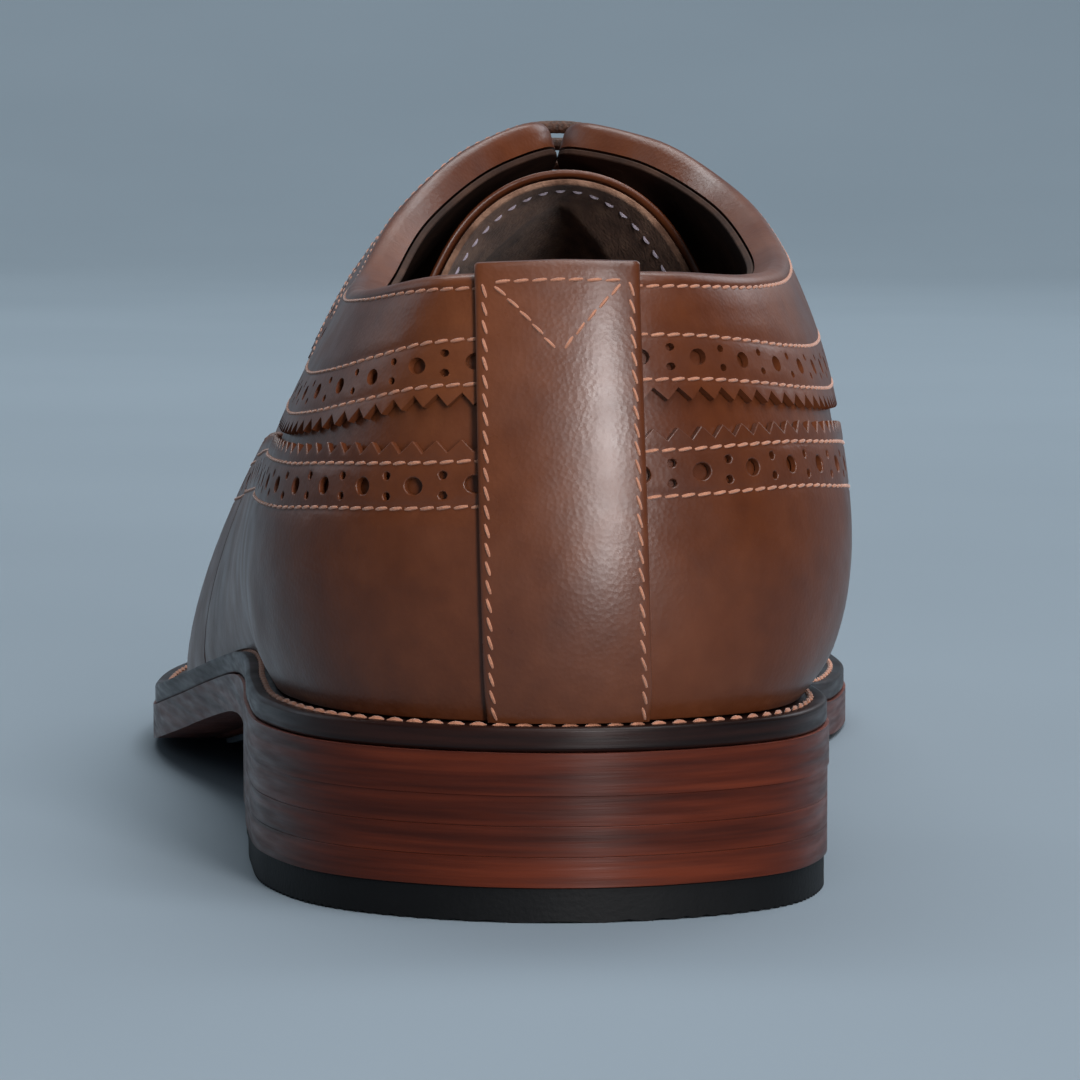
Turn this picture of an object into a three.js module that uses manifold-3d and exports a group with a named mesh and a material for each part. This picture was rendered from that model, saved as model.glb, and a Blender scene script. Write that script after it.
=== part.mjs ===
/**
 * Left shoe of a pair of men's full-brogue oxfords, in millimetres.
 *
 * X points to the outer (lateral) side, Y to the heel and Z up. The ground is Z = 0.
 * The upper is built on one surface, the last. A place on it is (u, q):
 *   u  runs round the foot, from 0 at the back of the heel to 1 at the tip of the toe on the
 *      outer side, and to -1 on the inner side;
 *   q  runs up the foot, from 0 at the feather edge to 1 at the topline, the lacing edge or,
 *      in front of the throat, the ridge of the foot.
 * Every layer of the upper is a shell between two distances from that surface.
 */
import * as THREE from 'three';
import { mergeVertices } from 'three/addons/utils/BufferGeometryUtils.js';
import Module from 'manifold-3d';

const { clamp, lerp, smoothstep } = THREE.MathUtils;
const wasm = await Module();
wasm.setup();

// ---------------------------------------------------------------- driving dimensions
const LENGTH = 305;
const GAP = 0.3;

const TOP_LIFT = 4.3;
const LEATHER_LIFTS = 3;
const LIFT_PITCH = 3.7;
const HEEL_RISE = TOP_LIFT + LEATHER_LIFTS * LIFT_PITCH;
const HEEL_LENGTH = 84;
const BREAST_BOW = 8;
const OUTSOLE = 5.2;
const WELT = 3.0;
const RUBBER_PROUD = 0.8;
const TREAD_START = 198;
const TREAD_END = 228;
const TOE_SPRING = 9.2;

const INSOLE = 2.6;
const SOCK = 0.9;
const LAYER = {
  tongueLining: [-6.4, -5.5],
  tongue: [-5.1, -4.1],
  lining: [0, 0.9],
  stiffener: [1.4, 2.1],
  base: [2.55, 3.55],
  overlay: [4.45, 5.35],
  strip: [5.8, 6.6],
};
const VAMP_EDGE_RISE = 2.2;

const EYELET_ROWS = [0.484, 0.508, 0.532, 0.556, 0.580];
const EYELET_INSET = 11;
const EYELET_BORE = 3.1;
const EYELET_BARREL = 3.9;
const EYELET_FLANGE = 5.4;
const PUNCHED_HOLE = 4.5;
const LACE = 1.9;
const AGLET = 2.5;
const AGLET_LENGTH = 14;

// Edge of the sole seen from above: [distance from the back of the heel, x], going from the
// back of the heel along the outer side to the toe, and back along the inner side.
const TOE_TIP_INDEX = 15;
const SOLE_EDGE = [
  [0, -5], [3.5, 10], [14, 23.5], [32, 31.5], [56, 34.5], [84, 36], [115, 40], [140, 45.5],
  [165, 51], [190, 53.4], [213, 52], [238, 45.8], [262, 36], [283, 22.5], [298, 6], [305, -11],
  [300.5, -29], [287, -40.5], [266, -47.5], [243, -51.5], [217, -53.4], [192, -50], [165, -42],
  [140, -35.5], [113, -32], [84, -34], [56, -37.8], [32, -39.2], [14, -33.3], [3.5, -19.8],
];

// Top of the last: [|u|, distance from the heel, outer height, inner height, outer x, inner x].
const TOP_EDGE = [
  [0.00, 13.5, 76.5, 76.5, -5.0, -5.0],
  [0.07, 16.0, 75.9, 76.3, 6.0, -16.0],
  [0.14, 30.0, 73.3, 75.0, 13.0, -24.8],
  [0.22, 55.0, 72.2, 75.2, 15.8, -29.6],
  [0.30, 82.0, 74.3, 78.0, 14.4, -30.2],
  [0.36, 103.0, 80.8, 83.2, 10.2, -26.4],
  [0.41, 119.0, 87.0, 88.2, 2.2, -17.6],
  [0.45, 131.0, 89.9, 89.9, -6.4, -7.6],
  [0.50, 146.0, 86.0, 86.0, -6.1, -7.9],
  [0.55, 161.0, 80.1, 80.1, -6.2, -8.0],
  [0.60, 175.0, 73.5, 73.5, -6.6, -8.0],
  [0.63, 184.0, 69.3, 69.3, -7.5, -7.5],
  [0.70, 205.0, 60.0, 60.0, -7.8, -7.8],
  [0.77, 224.0, 52.8, 52.8, -8.2, -8.2],
  [0.84, 241.0, 47.2, 47.2, -8.5, -8.5],
  [0.91, 254.5, 43.8, 43.8, -8.9, -8.9],
  [1.00, 264.0, 41.8, 41.8, -9.2, -9.2],
];
const THROAT = 0.63;

// Fullness of the last: [|u|, inset from the sole edge, outer low bulge, inner low bulge,
// low rise, high bulge, high drop], the last four being the handles of a cubic curve.
const FULLNESS = [
  [0.00, 8.8, 4.5, 4.5, 14, 6.5, 18],
  [0.08, 8.8, 6.0, 8.0, 14, 6.5, 18],
  [0.15, 8.8, 8.5, 11.5, 15, 8.5, 17],
  [0.24, 8.8, 8.5, 12.5, 15, 10.0, 18],
  [0.31, 7.9, 7.0, 11.5, 16, 10.5, 20],
  [0.37, 7.4, 5.0, 10.5, 17, 13.0, 16],
  [0.42, 7.6, 4.0, 9.5, 17, 17.0, 8],
  [0.46, 8.2, 3.0, 8.0, 17, 19.0, 3.5],
  [0.51, 9.2, 2.5, 6.0, 17, 20.5, 3],
  [0.57, 10.4, 2.0, 4.5, 17, 21.0, 3],
  [0.63, 10.7, 2.0, 3.5, 16, 21.5, 3],
  [0.70, 10.7, 2.0, 3.0, 15, 22.0, 2.5],
  [0.78, 10.7, 2.0, 2.5, 14, 22.0, 2.2],
  [0.86, 10.7, 1.8, 2.0, 13, 20.0, 1.8],
  [0.93, 10.7, 1.6, 1.6, 12, 18.5, 1.5],
  [1.00, 10.7, 1.5, 1.5, 12, 18.0, 1.5],
];

// Seams of the upper: [|u|, outer height, inner height] above the ground, and
// [|u|, outer distance, inner distance] below the top edge.
const BAND_TOP_HEIGHT = [
  [0.00, 56.9, 56.9], [0.05, 56.1, 57.4], [0.11, 54.5, 57.0], [0.15, 53.3, 56.2],
  [0.25, 52.0, 54.6], [0.35, 50.0, 51.6], [0.45, 46.5, 46.5], [0.58, 41.0, 41.0],
  [0.68, 37.5, 37.5], [0.76, 38.5, 38.5], [0.82, 45.0, 45.0], [1.00, 45.0, 45.0],
];
const COLLAR_DEPTH = [
  [0.00, 15.3, 15.0], [0.06, 15.6, 15.2], [0.10, 17.2, 16.0], [0.16, 19.2, 17.5],
  [0.22, 19.6, 18.0], [0.29, 19.6, 18.6], [0.36, 21.0, 21.0], [0.41, 23.5, 24.0],
  [0.46, 26.0, 26.0], [0.62, 23.0, 23.0], [1.00, 23.0, 23.0],
];
const WING_LOBE = 0.82;
const WING_PEAK = 0.735;
const WING_SEAM = 0.47;
const VAMP_SEAM_LOW = 0.49;
const VAMP_SEAM_HIGH = 0.62;
const BACK_STRIP_HALF = 10.8;
const STRIP_FLARE = 0.6;
const STRIP_FLARE_POWER = 2.4;
const STRIP_LEAN = 1.5;

// ---------------------------------------------------------------- materials
const COLOUR = {
  upper: 0x6f4527, wing: 0x6a4023, strip: 0x75492b, lining: 0x4a4038, suede: 0x4c443c,
  insole: 0x8a6a4a, sock: 0x3c3029, stiffener: 0x9a8468, cork: 0xa9794b, steel: 0x8d9297,
  welt: 0x2e1710, soleLeather: 0x6a3424, heelLeather: 0x5e2a1b, rubber: 0x2b3136,
  tread: 0x46555f, brass: 0xc58a5c, lace: 0x4a2c1a, aglet: 0x5b3a24, rib: 0xc9bda4,
};

const finish = (colour, roughness, metalness = 0) =>
  new THREE.MeshStandardMaterial({ color: colour, roughness, metalness });

const shoe = new THREE.Group();

function addPiece(name, geometry, material) {
  const mesh = new THREE.Mesh(geometry, material);
  mesh.name = name;
  shoe.add(mesh);
  return mesh;
}

// ---------------------------------------------------------------- curves and tables
const fromHeel = (s) => LENGTH / 2 - s;

/** Slope of one column of a table at row i, from its neighbours. */
function tableSlope(rows, i, column) {
  const before = rows[Math.max(i - 1, 0)];
  const after = rows[Math.min(i + 1, rows.length - 1)];
  return (after[column] - before[column]) / (after[0] - before[0]);
}

/** Smooth value of one column of a table whose first column is the key. */
function readTable(rows, key, column) {
  const k = clamp(key, rows[0][0], rows.at(-1)[0]);
  let i = rows.findIndex((row) => row[0] > k) - 1;
  if (i < 0) i = rows.length - 2;
  const width = rows[i + 1][0] - rows[i][0];
  const t = (k - rows[i][0]) / width;
  const t2 = t * t;
  const t3 = t2 * t;
  return (2 * t3 - 3 * t2 + 1) * rows[i][column]
    + (t3 - 2 * t2 + t) * width * tableSlope(rows, i, column)
    + (3 * t2 - 2 * t3) * rows[i + 1][column]
    + (t3 - t2) * width * tableSlope(rows, i + 1, column);
}

/** The two-sided form of a table: keys from -1 - margin to 1 + margin, wrapped at the ends. */
function roundTheFoot(rows, outerColumn, innerColumn) {
  const outer = rows.map((row) => [row[0], row[outerColumn]]);
  const inner = rows.map((row) => [-row[0], row[innerColumn]]).reverse();
  const loop = [...inner.slice(0, -1), ...outer];
  const wrappedBefore = outer.slice(-4, -1).map(([key, value]) => [key - 2, value]);
  const wrappedAfter = inner.slice(1, 4).map(([key, value]) => [key + 2, value]);
  return [...wrappedBefore, ...loop, ...wrappedAfter];
}

const topDistance = roundTheFoot(TOP_EDGE, 1, 1);
const topHeight = roundTheFoot(TOP_EDGE, 2, 3);
const topX = roundTheFoot(TOP_EDGE, 4, 5);
const edgeInset = roundTheFoot(FULLNESS, 1, 1);
const lowBulge = roundTheFoot(FULLNESS, 2, 3);
const lowRise = roundTheFoot(FULLNESS, 4, 4);
const highBulge = roundTheFoot(FULLNESS, 5, 5);
const highDrop = roundTheFoot(FULLNESS, 6, 6);

/** One half of the sole edge as points and running lengths, from the heel to the toe. */
function halfEdge(curve, firstIndex, lastIndex) {
  const steps = 600;
  const points = [];
  const lengths = [0];
  for (let i = 0; i <= steps; i += 1) {
    const index = lerp(firstIndex, lastIndex, i / steps);
    points.push(curve.getPoint((index / SOLE_EDGE.length) % 1));
    if (i > 0) lengths.push(lengths[i - 1] + points[i].distanceTo(points[i - 1]));
  }
  return { points, lengths };
}

const edgeCurve = new THREE.CatmullRomCurve3(
  SOLE_EDGE.map(([s, x]) => new THREE.Vector3(x, fromHeel(s), 0)), true, 'centripetal');
const outerHalf = halfEdge(edgeCurve, 0, TOE_TIP_INDEX);
const innerHalf = halfEdge(edgeCurve, SOLE_EDGE.length, TOE_TIP_INDEX);
const HALF_EDGE_LENGTH = outerHalf.lengths.at(-1);

/** Point of the sole edge at u, seen from above. */
function soleEdge(u) {
  const wrapped = u > 1 ? u - 2 : u < -1 ? u + 2 : u;
  const half = wrapped < 0 ? innerHalf : outerHalf;
  const target = Math.abs(wrapped) * half.lengths.at(-1);
  let i = half.lengths.findIndex((length) => length >= target);
  i = clamp(i, 1, half.lengths.length - 1);
  const t = (target - half.lengths[i - 1]) / (half.lengths[i] - half.lengths[i - 1]);
  return half.points[i - 1].clone().lerp(half.points[i], t);
}

/** Outward direction of the sole edge at u, level with the ground. */
function outward(u) {
  const reach = 0.004;
  const along = soleEdge(u + reach).sub(soleEdge(u - reach));
  return new THREE.Vector3(-along.y, along.x, 0).normalize();
}

/** Height of the underside of the leather sole at a distance s from the heel. */
function soleBottom(s) {
  const fall = smoothstep(s, HEEL_LENGTH, TREAD_START);
  const spring = clamp((s - TREAD_END) / (LENGTH - TREAD_END), 0, 1) ** 1.8;
  return lerp(HEEL_RISE, RUBBER_PROUD, fall) + TOE_SPRING * spring;
}

const soleTop = (s) => soleBottom(s) + OUTSOLE;
const featherHeight = (s) => soleTop(s) + WELT;
const heightAt = (point, profile) => profile(LENGTH / 2 - point.y);

// ---------------------------------------------------------------- the last
/** Point of the last at (u, q). */
function lastPoint(u, q) {
  const side = u > 1 ? u - 2 : u < -1 ? u + 2 : u;
  const out = outward(side);
  const foot = soleEdge(side).addScaledVector(out, -readTable(edgeInset, side, 1));
  foot.z = heightAt(foot, featherHeight) + GAP;
  const top = new THREE.Vector3(
    readTable(topX, side, 1),
    fromHeel(readTable(topDistance, side, 1)),
    readTable(topHeight, side, 1));
  if (Math.abs(side) > THROAT) {
    top.x = (readTable(topX, side, 1) + readTable(topX, -side, 1)) / 2;
  }
  const low = foot.clone().addScaledVector(out, readTable(lowBulge, side, 1));
  low.z += readTable(lowRise, side, 1);
  const high = top.clone().addScaledVector(out, readTable(highBulge, side, 1));
  high.z -= readTable(highDrop, side, 1);
  return new THREE.CubicBezierCurve3(foot, low, high, top).getPoint(q);
}

/** Normal of the last at (u, q), before it is turned level at the feather edge. */
function lastNormal(u, q) {
  const reach = 0.004;
  const level = Math.min(q, 0.985);
  const along = lastPoint(u + reach, level).sub(lastPoint(u - reach, level));
  const up = lastPoint(u, level + reach).sub(lastPoint(u, level - reach));
  return along.cross(up).negate().normalize();
}

/** Direction in which the layers of the upper stack up at (u, q). */
function stackDirection(u, q) {
  const normal = lastNormal(u, q);
  if (q > 0.999 && Math.abs(u) > THROAT) normal.add(lastNormal(-u, q));
  const level = outward(u);
  const turn = smoothstep(q, 0, 0.25);
  return level.lerp(normal.normalize(), turn).normalize();
}

/** Point at a distance d outside the last; the layers' lower edges all stand on the welt. */
function upperPoint(u, q, d) {
  const start = lastPoint(u, q);
  const point = start.clone().addScaledVector(stackDirection(u, q), d);
  const climb = heightAt(point, featherHeight) - heightAt(start, featherHeight);
  point.z += climb * (1 - smoothstep(q, 0, 0.25));
  return point;
}

/** The q at which the meridian u of a layer reaches a height above the ground. */
function qAtHeight(u, height) {
  let low = 0;
  let high = 1;
  for (let i = 0; i < 24; i += 1) {
    const middle = (low + high) / 2;
    if (lastPoint(u, middle).z < height) low = middle;
    else high = middle;
  }
  return (low + high) / 2;
}

/** The q at a distance down from the top edge along the meridian u. */
function qBelowTop(u, distance) {
  const step = 0.01;
  let left = distance;
  let q = 1;
  while (q > step) {
    const stretch = lastPoint(u, q).distanceTo(lastPoint(u, q - step));
    if (stretch >= left) return q - step * left / stretch;
    left -= stretch;
    q -= step;
  }
  return q;
}

// ---------------------------------------------------------------- mesh building
/**
 * Closed body between two surfaces that share their triangles. Each grid is rows of
 * { outer, inner } point pairs. Coincident points are joined, and walls close the free edges.
 */
function shell(grids) {
  const outer = [];
  const inner = [];
  const triangles = [];
  const known = new Map();
  const indexOf = (pair) => {
    const key = pair.outer.toArray().map((value) => Math.round(value * 500)).join(',');
    if (!known.has(key)) {
      known.set(key, outer.length);
      outer.push(pair.outer);
      inner.push(pair.inner);
    }
    return known.get(key);
  };
  const addTriangle = (a, b, c) => {
    if (a !== b && b !== c && c !== a) triangles.push([a, b, c]);
  };
  for (const grid of grids) {
    const ids = grid.map((row) => row.map(indexOf));
    for (let i = 0; i + 1 < ids.length; i += 1) {
      for (let j = 0; j + 1 < ids[i].length; j += 1) {
        addTriangle(ids[i][j], ids[i + 1][j], ids[i + 1][j + 1]);
        addTriangle(ids[i][j], ids[i + 1][j + 1], ids[i][j + 1]);
      }
    }
  }
  return closedBody(outer, inner, triangles);
}

/** Joins the outer and inner skins with walls and returns one outward-facing geometry. */
function closedBody(outer, inner, triangles) {
  const count = outer.length;
  const index = [];
  const edges = new Map();
  for (const triangle of triangles) {
    index.push(...triangle);
    index.push(triangle[0] + count, triangle[2] + count, triangle[1] + count);
    for (let k = 0; k < 3; k += 1) {
      edges.set(`${triangle[k]}_${triangle[(k + 1) % 3]}`, [triangle[k], triangle[(k + 1) % 3]]);
    }
  }
  for (const [a, b] of edges.values()) {
    if (edges.has(`${b}_${a}`)) continue;
    index.push(b, a, a + count, b, a + count, b + count);
  }
  const geometry = new THREE.BufferGeometry();
  const positions = [...outer, ...inner].flatMap((point) => point.toArray());
  geometry.setAttribute('position', new THREE.Float32BufferAttribute(positions, 3));
  geometry.setIndex(index);
  return faceOutward(geometry);
}

/** Turns the triangles round if the body's volume comes out negative. */
function faceOutward(geometry) {
  const position = geometry.getAttribute('position');
  const index = geometry.getIndex();
  const [a, b, c] = [new THREE.Vector3(), new THREE.Vector3(), new THREE.Vector3()];
  let volume = 0;
  for (let i = 0; i < index.count; i += 3) {
    a.fromBufferAttribute(position, index.getX(i));
    b.fromBufferAttribute(position, index.getX(i + 1));
    c.fromBufferAttribute(position, index.getX(i + 2));
    volume += a.dot(b.cross(c));
  }
  if (volume < 0) geometry.setIndex(Array.from(index.array).reverse());
  return geometry;
}

/** Numbers from a to b in equal steps. */
const spread = (a, b, steps) => Array.from({ length: steps + 1 }, (_, i) => lerp(a, b, i / steps));

/**
 * Grid over the last. place(i, j) gives [u, q], and depths gives the two distances from the
 * last, as a pair or as a function of (u, q). Where the two sides join, along the ridge and at
 * the tip of the toe, both use the outer side's point.
 */
function lastGrid(place, depths, columns, rows) {
  return columns.map((i) => rows.map((j) => {
    const [placedU, q] = place(i, j);
    const isJoined = Math.abs(placedU) > 0.9999 || (q > 0.999 && Math.abs(placedU) > THROAT);
    const u = isJoined ? Math.abs(placedU) : placedU;
    const [near, far] = typeof depths === 'function' ? depths(u, q) : depths;
    return { outer: upperPoint(u, q, far), inner: upperPoint(u, q, near) };
  }));
}

/** Slab whose outline and heights follow the sole, made of strips from side to side. */
function soleSlab(outlineAt, bottom, top, from = 0, to = 1, steps = 30) {
  const rows = spread(from, to, steps).map((p) => {
    const sides = [outlineAt(-p), outlineAt(p)];
    return [0, 0.5, 1].map((t) => {
      const point = sides[0].clone().lerp(sides[1], t);
      const outer = point.clone().setZ(heightAt(point, top));
      return { outer, inner: point.clone().setZ(heightAt(point, bottom)) };
    });
  });
  return shell([rows]);
}

/** Ring between two outlines that both run round the foot. */
function soleRing(outerAt, innerAt, bottom, top, steps = 56) {
  const rows = spread(-1, 1, steps).map((u) => [outerAt(u), innerAt(u)].map((point) => ({
    outer: point.clone().setZ(heightAt(point, top)),
    inner: point.clone().setZ(heightAt(point, bottom)),
  })));
  return shell([rows]);
}

/** Solid for joining and cutting, from any closed geometry. */
function toSolid(geometry) {
  const bare = geometry.clone();
  bare.deleteAttribute('normal');
  bare.deleteAttribute('uv');
  const merged = mergeVertices(bare);
  return new wasm.Manifold(new wasm.Mesh({
    numProp: 3,
    vertProperties: new Float32Array(merged.getAttribute('position').array),
    triVerts: new Uint32Array(merged.getIndex().array),
  }));
}

/** Geometry of a body with other bodies cut out of it. */
function cut(body, tools) {
  let solid = toSolid(body);
  for (const tool of tools) solid = solid.subtract(toSolid(tool));
  const mesh = solid.getMesh();
  const geometry = new THREE.BufferGeometry();
  geometry.setAttribute('position', new THREE.BufferAttribute(mesh.vertProperties, 3));
  geometry.setIndex(new THREE.BufferAttribute(mesh.triVerts, 1));
  return geometry;
}

/** Cylinder from one point to another. */
function rod(start, end, diameter, sides) {
  const length = start.distanceTo(end);
  const geometry = new THREE.CylinderGeometry(diameter / 2, diameter / 2, length, sides);
  const axis = end.clone().sub(start).normalize();
  const turn = new THREE.Quaternion().setFromUnitVectors(new THREE.Vector3(0, 1, 0), axis);
  geometry.applyQuaternion(turn);
  const middle = start.clone().add(end).multiplyScalar(0.5);
  return geometry.translate(middle.x, middle.y, middle.z);
}

/** Round tube along a smooth path. */
function tube(points, diameter, steps, sides) {
  const section = new THREE.Shape(spread(0, 1, sides).slice(0, -1).map((t) =>
    new THREE.Vector2(Math.cos(2 * Math.PI * t), Math.sin(2 * Math.PI * t))
      .multiplyScalar(diameter / 2)));
  const path = new THREE.CatmullRomCurve3(points, false, 'centripetal');
  return new THREE.ExtrudeGeometry(section, { steps, extrudePath: path, bevelEnabled: false });
}

// ---------------------------------------------------------------- heel
/** Heel outline, drawn in by an inset, with its concave front (the breast). */
function heelShape(inset) {
  const breastAt = (sign) => {
    let u = 0;
    while (soleEdge(u * sign).y > fromHeel(HEEL_LENGTH)) u += 0.001;
    return u * sign;
  };
  const corner = [breastAt(-1), breastAt(1)];
  const round = spread(corner[0], corner[1], 28).map((u) =>
    soleEdge(u).addScaledVector(outward(u), -inset));
  const start = round.at(-1);
  const end = round[0];
  const breast = spread(0, 1, 8).slice(1, -1).map((t) => {
    const point = start.clone().lerp(end, t);
    point.y += BREAST_BOW * 4 * t * (1 - t);
    return point;
  });
  return new THREE.Shape([...round, ...breast].map((point) => new THREE.Vector2(point.x, point.y)));
}

function heelSlab(inset, bottom, top) {
  const slab = new THREE.ExtrudeGeometry(heelShape(inset), {
    depth: top - bottom, bevelEnabled: false,
  });
  return slab.translate(0, 0, bottom);
}

const NAIL_DIAMETER = 2;
const NAIL_LENGTH = 6.6;
// Places of the five heel nails: [distance from the back of the heel, x].
const HEEL_NAILS = [[72, 30], [64, 31.5], [72, -27], [64, -31], [7, -5]];

function makeHeel() {
  const nailHoles = HEEL_NAILS.map(([s, x]) => rod(
    new THREE.Vector3(x, fromHeel(s), -1),
    new THREE.Vector3(x, fromHeel(s), NAIL_LENGTH + GAP),
    NAIL_DIAMETER + 2 * GAP, 10));
  const rubber = finish(COLOUR.rubber, 0.75);
  const leather = finish(COLOUR.heelLeather, 0.45);
  addPiece('top_lift', cut(heelSlab(0.6, 0, TOP_LIFT - GAP), nailHoles), rubber);
  for (let i = 0; i < LEATHER_LIFTS; i += 1) {
    const bottom = TOP_LIFT + (LEATHER_LIFTS - 1 - i) * LIFT_PITCH;
    const slab = heelSlab(0.2, bottom, bottom + LIFT_PITCH - GAP);
    const isLowest = i === LEATHER_LIFTS - 1;
    addPiece(`heel_lift_${i + 1}`, isLowest ? cut(slab, nailHoles) : slab, leather);
  }
  HEEL_NAILS.forEach(([s, x], i) => {
    const foot = new THREE.Vector3(x, fromHeel(s), 0.2);
    const tip = new THREE.Vector3(x, fromHeel(s), NAIL_LENGTH);
    addPiece(`heel_nail_${i + 1}`, rod(foot, tip, NAIL_DIAMETER, 10), finish(COLOUR.brass, 0.3, 1));
  });
}

// ---------------------------------------------------------------- sole
const insetEdge = (inset) => (u) => soleEdge(u).addScaledVector(outward(u), -inset);
const lastEdge = (distance) => (u) => upperPoint(u, 0, distance);

const INSERT_START = 0.505;
const INSERT_INSET = 11;
const INSERT_DEPTH = 2;
const INSERT_BOW = 16;
const SHANK_WIDTH = 13;
const SHANK_THICKNESS = 1.2;
const SHANK_FROM = 62;
const SHANK_TO = 166;
const RIB_INSET = 15.5;
const RIB_WIDTH = 1.6;

/** Slab of the rubber forefoot, grown by a margin on every side. */
function forefootSlab(margin, bottomDrop, topRise) {
  const edge = insetEdge(INSERT_INSET - margin);
  const start = INSERT_START - margin / HALF_EDGE_LENGTH;
  const columns = spread(start, 1, 18);
  const rows = columns.map((p) => {
    const sides = [edge(-p), edge(p)];
    const bowing = (1 - p) / (1 - start);
    return spread(0, 1, 4).map((t) => {
      const point = sides[0].clone().lerp(sides[1], t);
      point.y += INSERT_BOW * 4 * t * (1 - t) * bowing ** 4;
      const bottom = heightAt(point, soleBottom);
      return {
        outer: point.clone().setZ(bottom + topRise),
        inner: point.clone().setZ(bottom - bottomDrop),
      };
    });
  });
  return shell([rows]);
}

/** Steel strip that stiffens the waist, grown by a margin for its slot in the cork. */
function shankSlab(margin) {
  const rows = spread(SHANK_FROM - margin, SHANK_TO + margin, 14).map((s) => {
    const centre = lerp(-1, 1.5, smoothstep(s, SHANK_FROM, SHANK_TO));
    return [-1, 1].map((side) => {
      const x = centre + side * (SHANK_WIDTH / 2 + margin);
      const point = new THREE.Vector3(x, fromHeel(s), 0);
      const bottom = heightAt(point, soleTop) + GAP;
      return {
        outer: point.clone().setZ(bottom + SHANK_THICKNESS + margin),
        inner: point.clone().setZ(bottom - margin - (margin > 0 ? 1 : 0)),
      };
    });
  });
  return shell([rows]);
}

function makeSole() {
  const leather = finish(COLOUR.soleLeather, 0.5);
  const outsole = soleSlab(insetEdge(0), soleBottom, (s) => soleTop(s) - GAP);
  const pocket = forefootSlab(GAP, 6, INSERT_DEPTH + GAP);
  addPiece('outsole', cut(outsole, [pocket]), leather);
  addPiece('forefoot_rubber', forefootSlab(0, RUBBER_PROUD, INSERT_DEPTH), finish(COLOUR.tread, 0.7));

  const cavityTop = (s) => featherHeight(s) - GAP;
  addPiece('welt', soleRing(insetEdge(0.3), insetEdge(RIB_INSET - GAP), soleTop, featherHeight),
    finish(COLOUR.welt, 0.45));
  addPiece('insole_rib',
    soleRing(insetEdge(RIB_INSET), insetEdge(RIB_INSET + RIB_WIDTH), soleTop, cavityTop),
    finish(COLOUR.rib, 0.9));
  const cork = soleSlab(insetEdge(RIB_INSET + RIB_WIDTH + GAP), soleTop, cavityTop);
  addPiece('cork_filler', cut(cork, [shankSlab(GAP)]), finish(COLOUR.cork, 0.95));
  addPiece('shank', shankSlab(0), finish(COLOUR.steel, 0.35, 1));

  const insoleBottom = (s) => featherHeight(s) + GAP;
  const insoleTop = (s) => insoleBottom(s) + INSOLE;
  addPiece('insole', soleSlab(lastEdge(-0.8), insoleBottom, insoleTop), finish(COLOUR.insole, 0.8));
  addPiece('sock_liner',
    soleSlab(lastEdge(-1.6), (s) => insoleTop(s) + GAP, (s) => insoleTop(s) + GAP + SOCK),
    finish(COLOUR.sock, 0.6));
}

// ---------------------------------------------------------------- upper
const SIDES = [['lateral', 1], ['medial', -1]];
const HALF_SEAM = 0.0006;
const VAMP_GAP = 0.002;

const collarDepth = roundTheFoot(COLLAR_DEPTH, 1, 2);
const bandHeight = roundTheFoot(BAND_TOP_HEIGHT, 1, 2);
const collarQ = (p, sign) => qBelowTop(p * sign, readTable(collarDepth, p * sign, 1));
const bandQ = (p, sign) => qAtHeight(p * sign, readTable(bandHeight, p * sign, 1));
const vampSeam = (q) => lerp(VAMP_SEAM_LOW, VAMP_SEAM_HIGH, q);

/** Columns that stay close together round the heel, and the same for the toe. */
const sideColumns = (steps) => spread(0, 1, steps).map((t) => lerp(t * t, t, 0.6));
const toeColumns = (steps) => spread(0, 1, steps).map((t) => lerp(t * (2 - t), t, 0.6));

/** Middle of an eyelet on the last, and the direction that its barrel points in. */
function eyeletAxis(row, sign) {
  const u = EYELET_ROWS[row] * sign;
  const q = qBelowTop(u, EYELET_INSET);
  return { u, q, point: lastPoint(u, q), direction: stackDirection(u, q) };
}

function eyeletRod(row, sign, from, to, diameter) {
  const { point, direction } = eyeletAxis(row, sign);
  return rod(point.clone().addScaledVector(direction, from),
    point.clone().addScaledVector(direction, to), diameter, 12);
}

/** Holes punched for the eyelets of one side, as rods along the stacking direction. */
const punchedHoles = (sign) =>
  EYELET_ROWS.map((_, row) => eyeletRod(row, sign, -3, 8, PUNCHED_HOLE));

/** The columns of one side, always taken the same way round the foot. */
const inOrder = (columns, sign) => (sign > 0 ? columns : [...columns].reverse());

/** Grids that cover the toe and both sides forward of a meridian, joined along the ridge. */
function toeGrids(from, depths, steps, rows) {
  const half = toeColumns(steps).map((t) => lerp(from, 1, t));
  return [1, -1].map((sign) => lastGrid((p, q) => [p * sign, q], depths,
    inOrder(half, sign), spread(0, 1, rows)));
}

function makeLinings() {
  const leather = finish(COLOUR.lining, 0.85);
  for (const [name, sign] of SIDES) {
    const grid = lastGrid((i, j) => [sign * lerp(HALF_SEAM, VAMP_SEAM_HIGH, i), j],
      LAYER.lining, sideColumns(24), spread(0, 1, 5));
    addPiece(`quarter_lining_${name}`, cut(shell([grid]), punchedHoles(sign)), leather);
  }
  const vampLining = toeGrids(THROAT + 0.001, LAYER.lining, 11, 6);
  addPiece('vamp_lining', shell(vampLining), leather);
}

// The heel stiffener runs this far round each side and stands lower at its ends than behind.
const COUNTER_REACH = 0.27;
const COUNTER_BACK_Q = 0.8;
const COUNTER_END_Q = 0.5;
const TOE_PUFF_START = 0.85;

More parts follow.
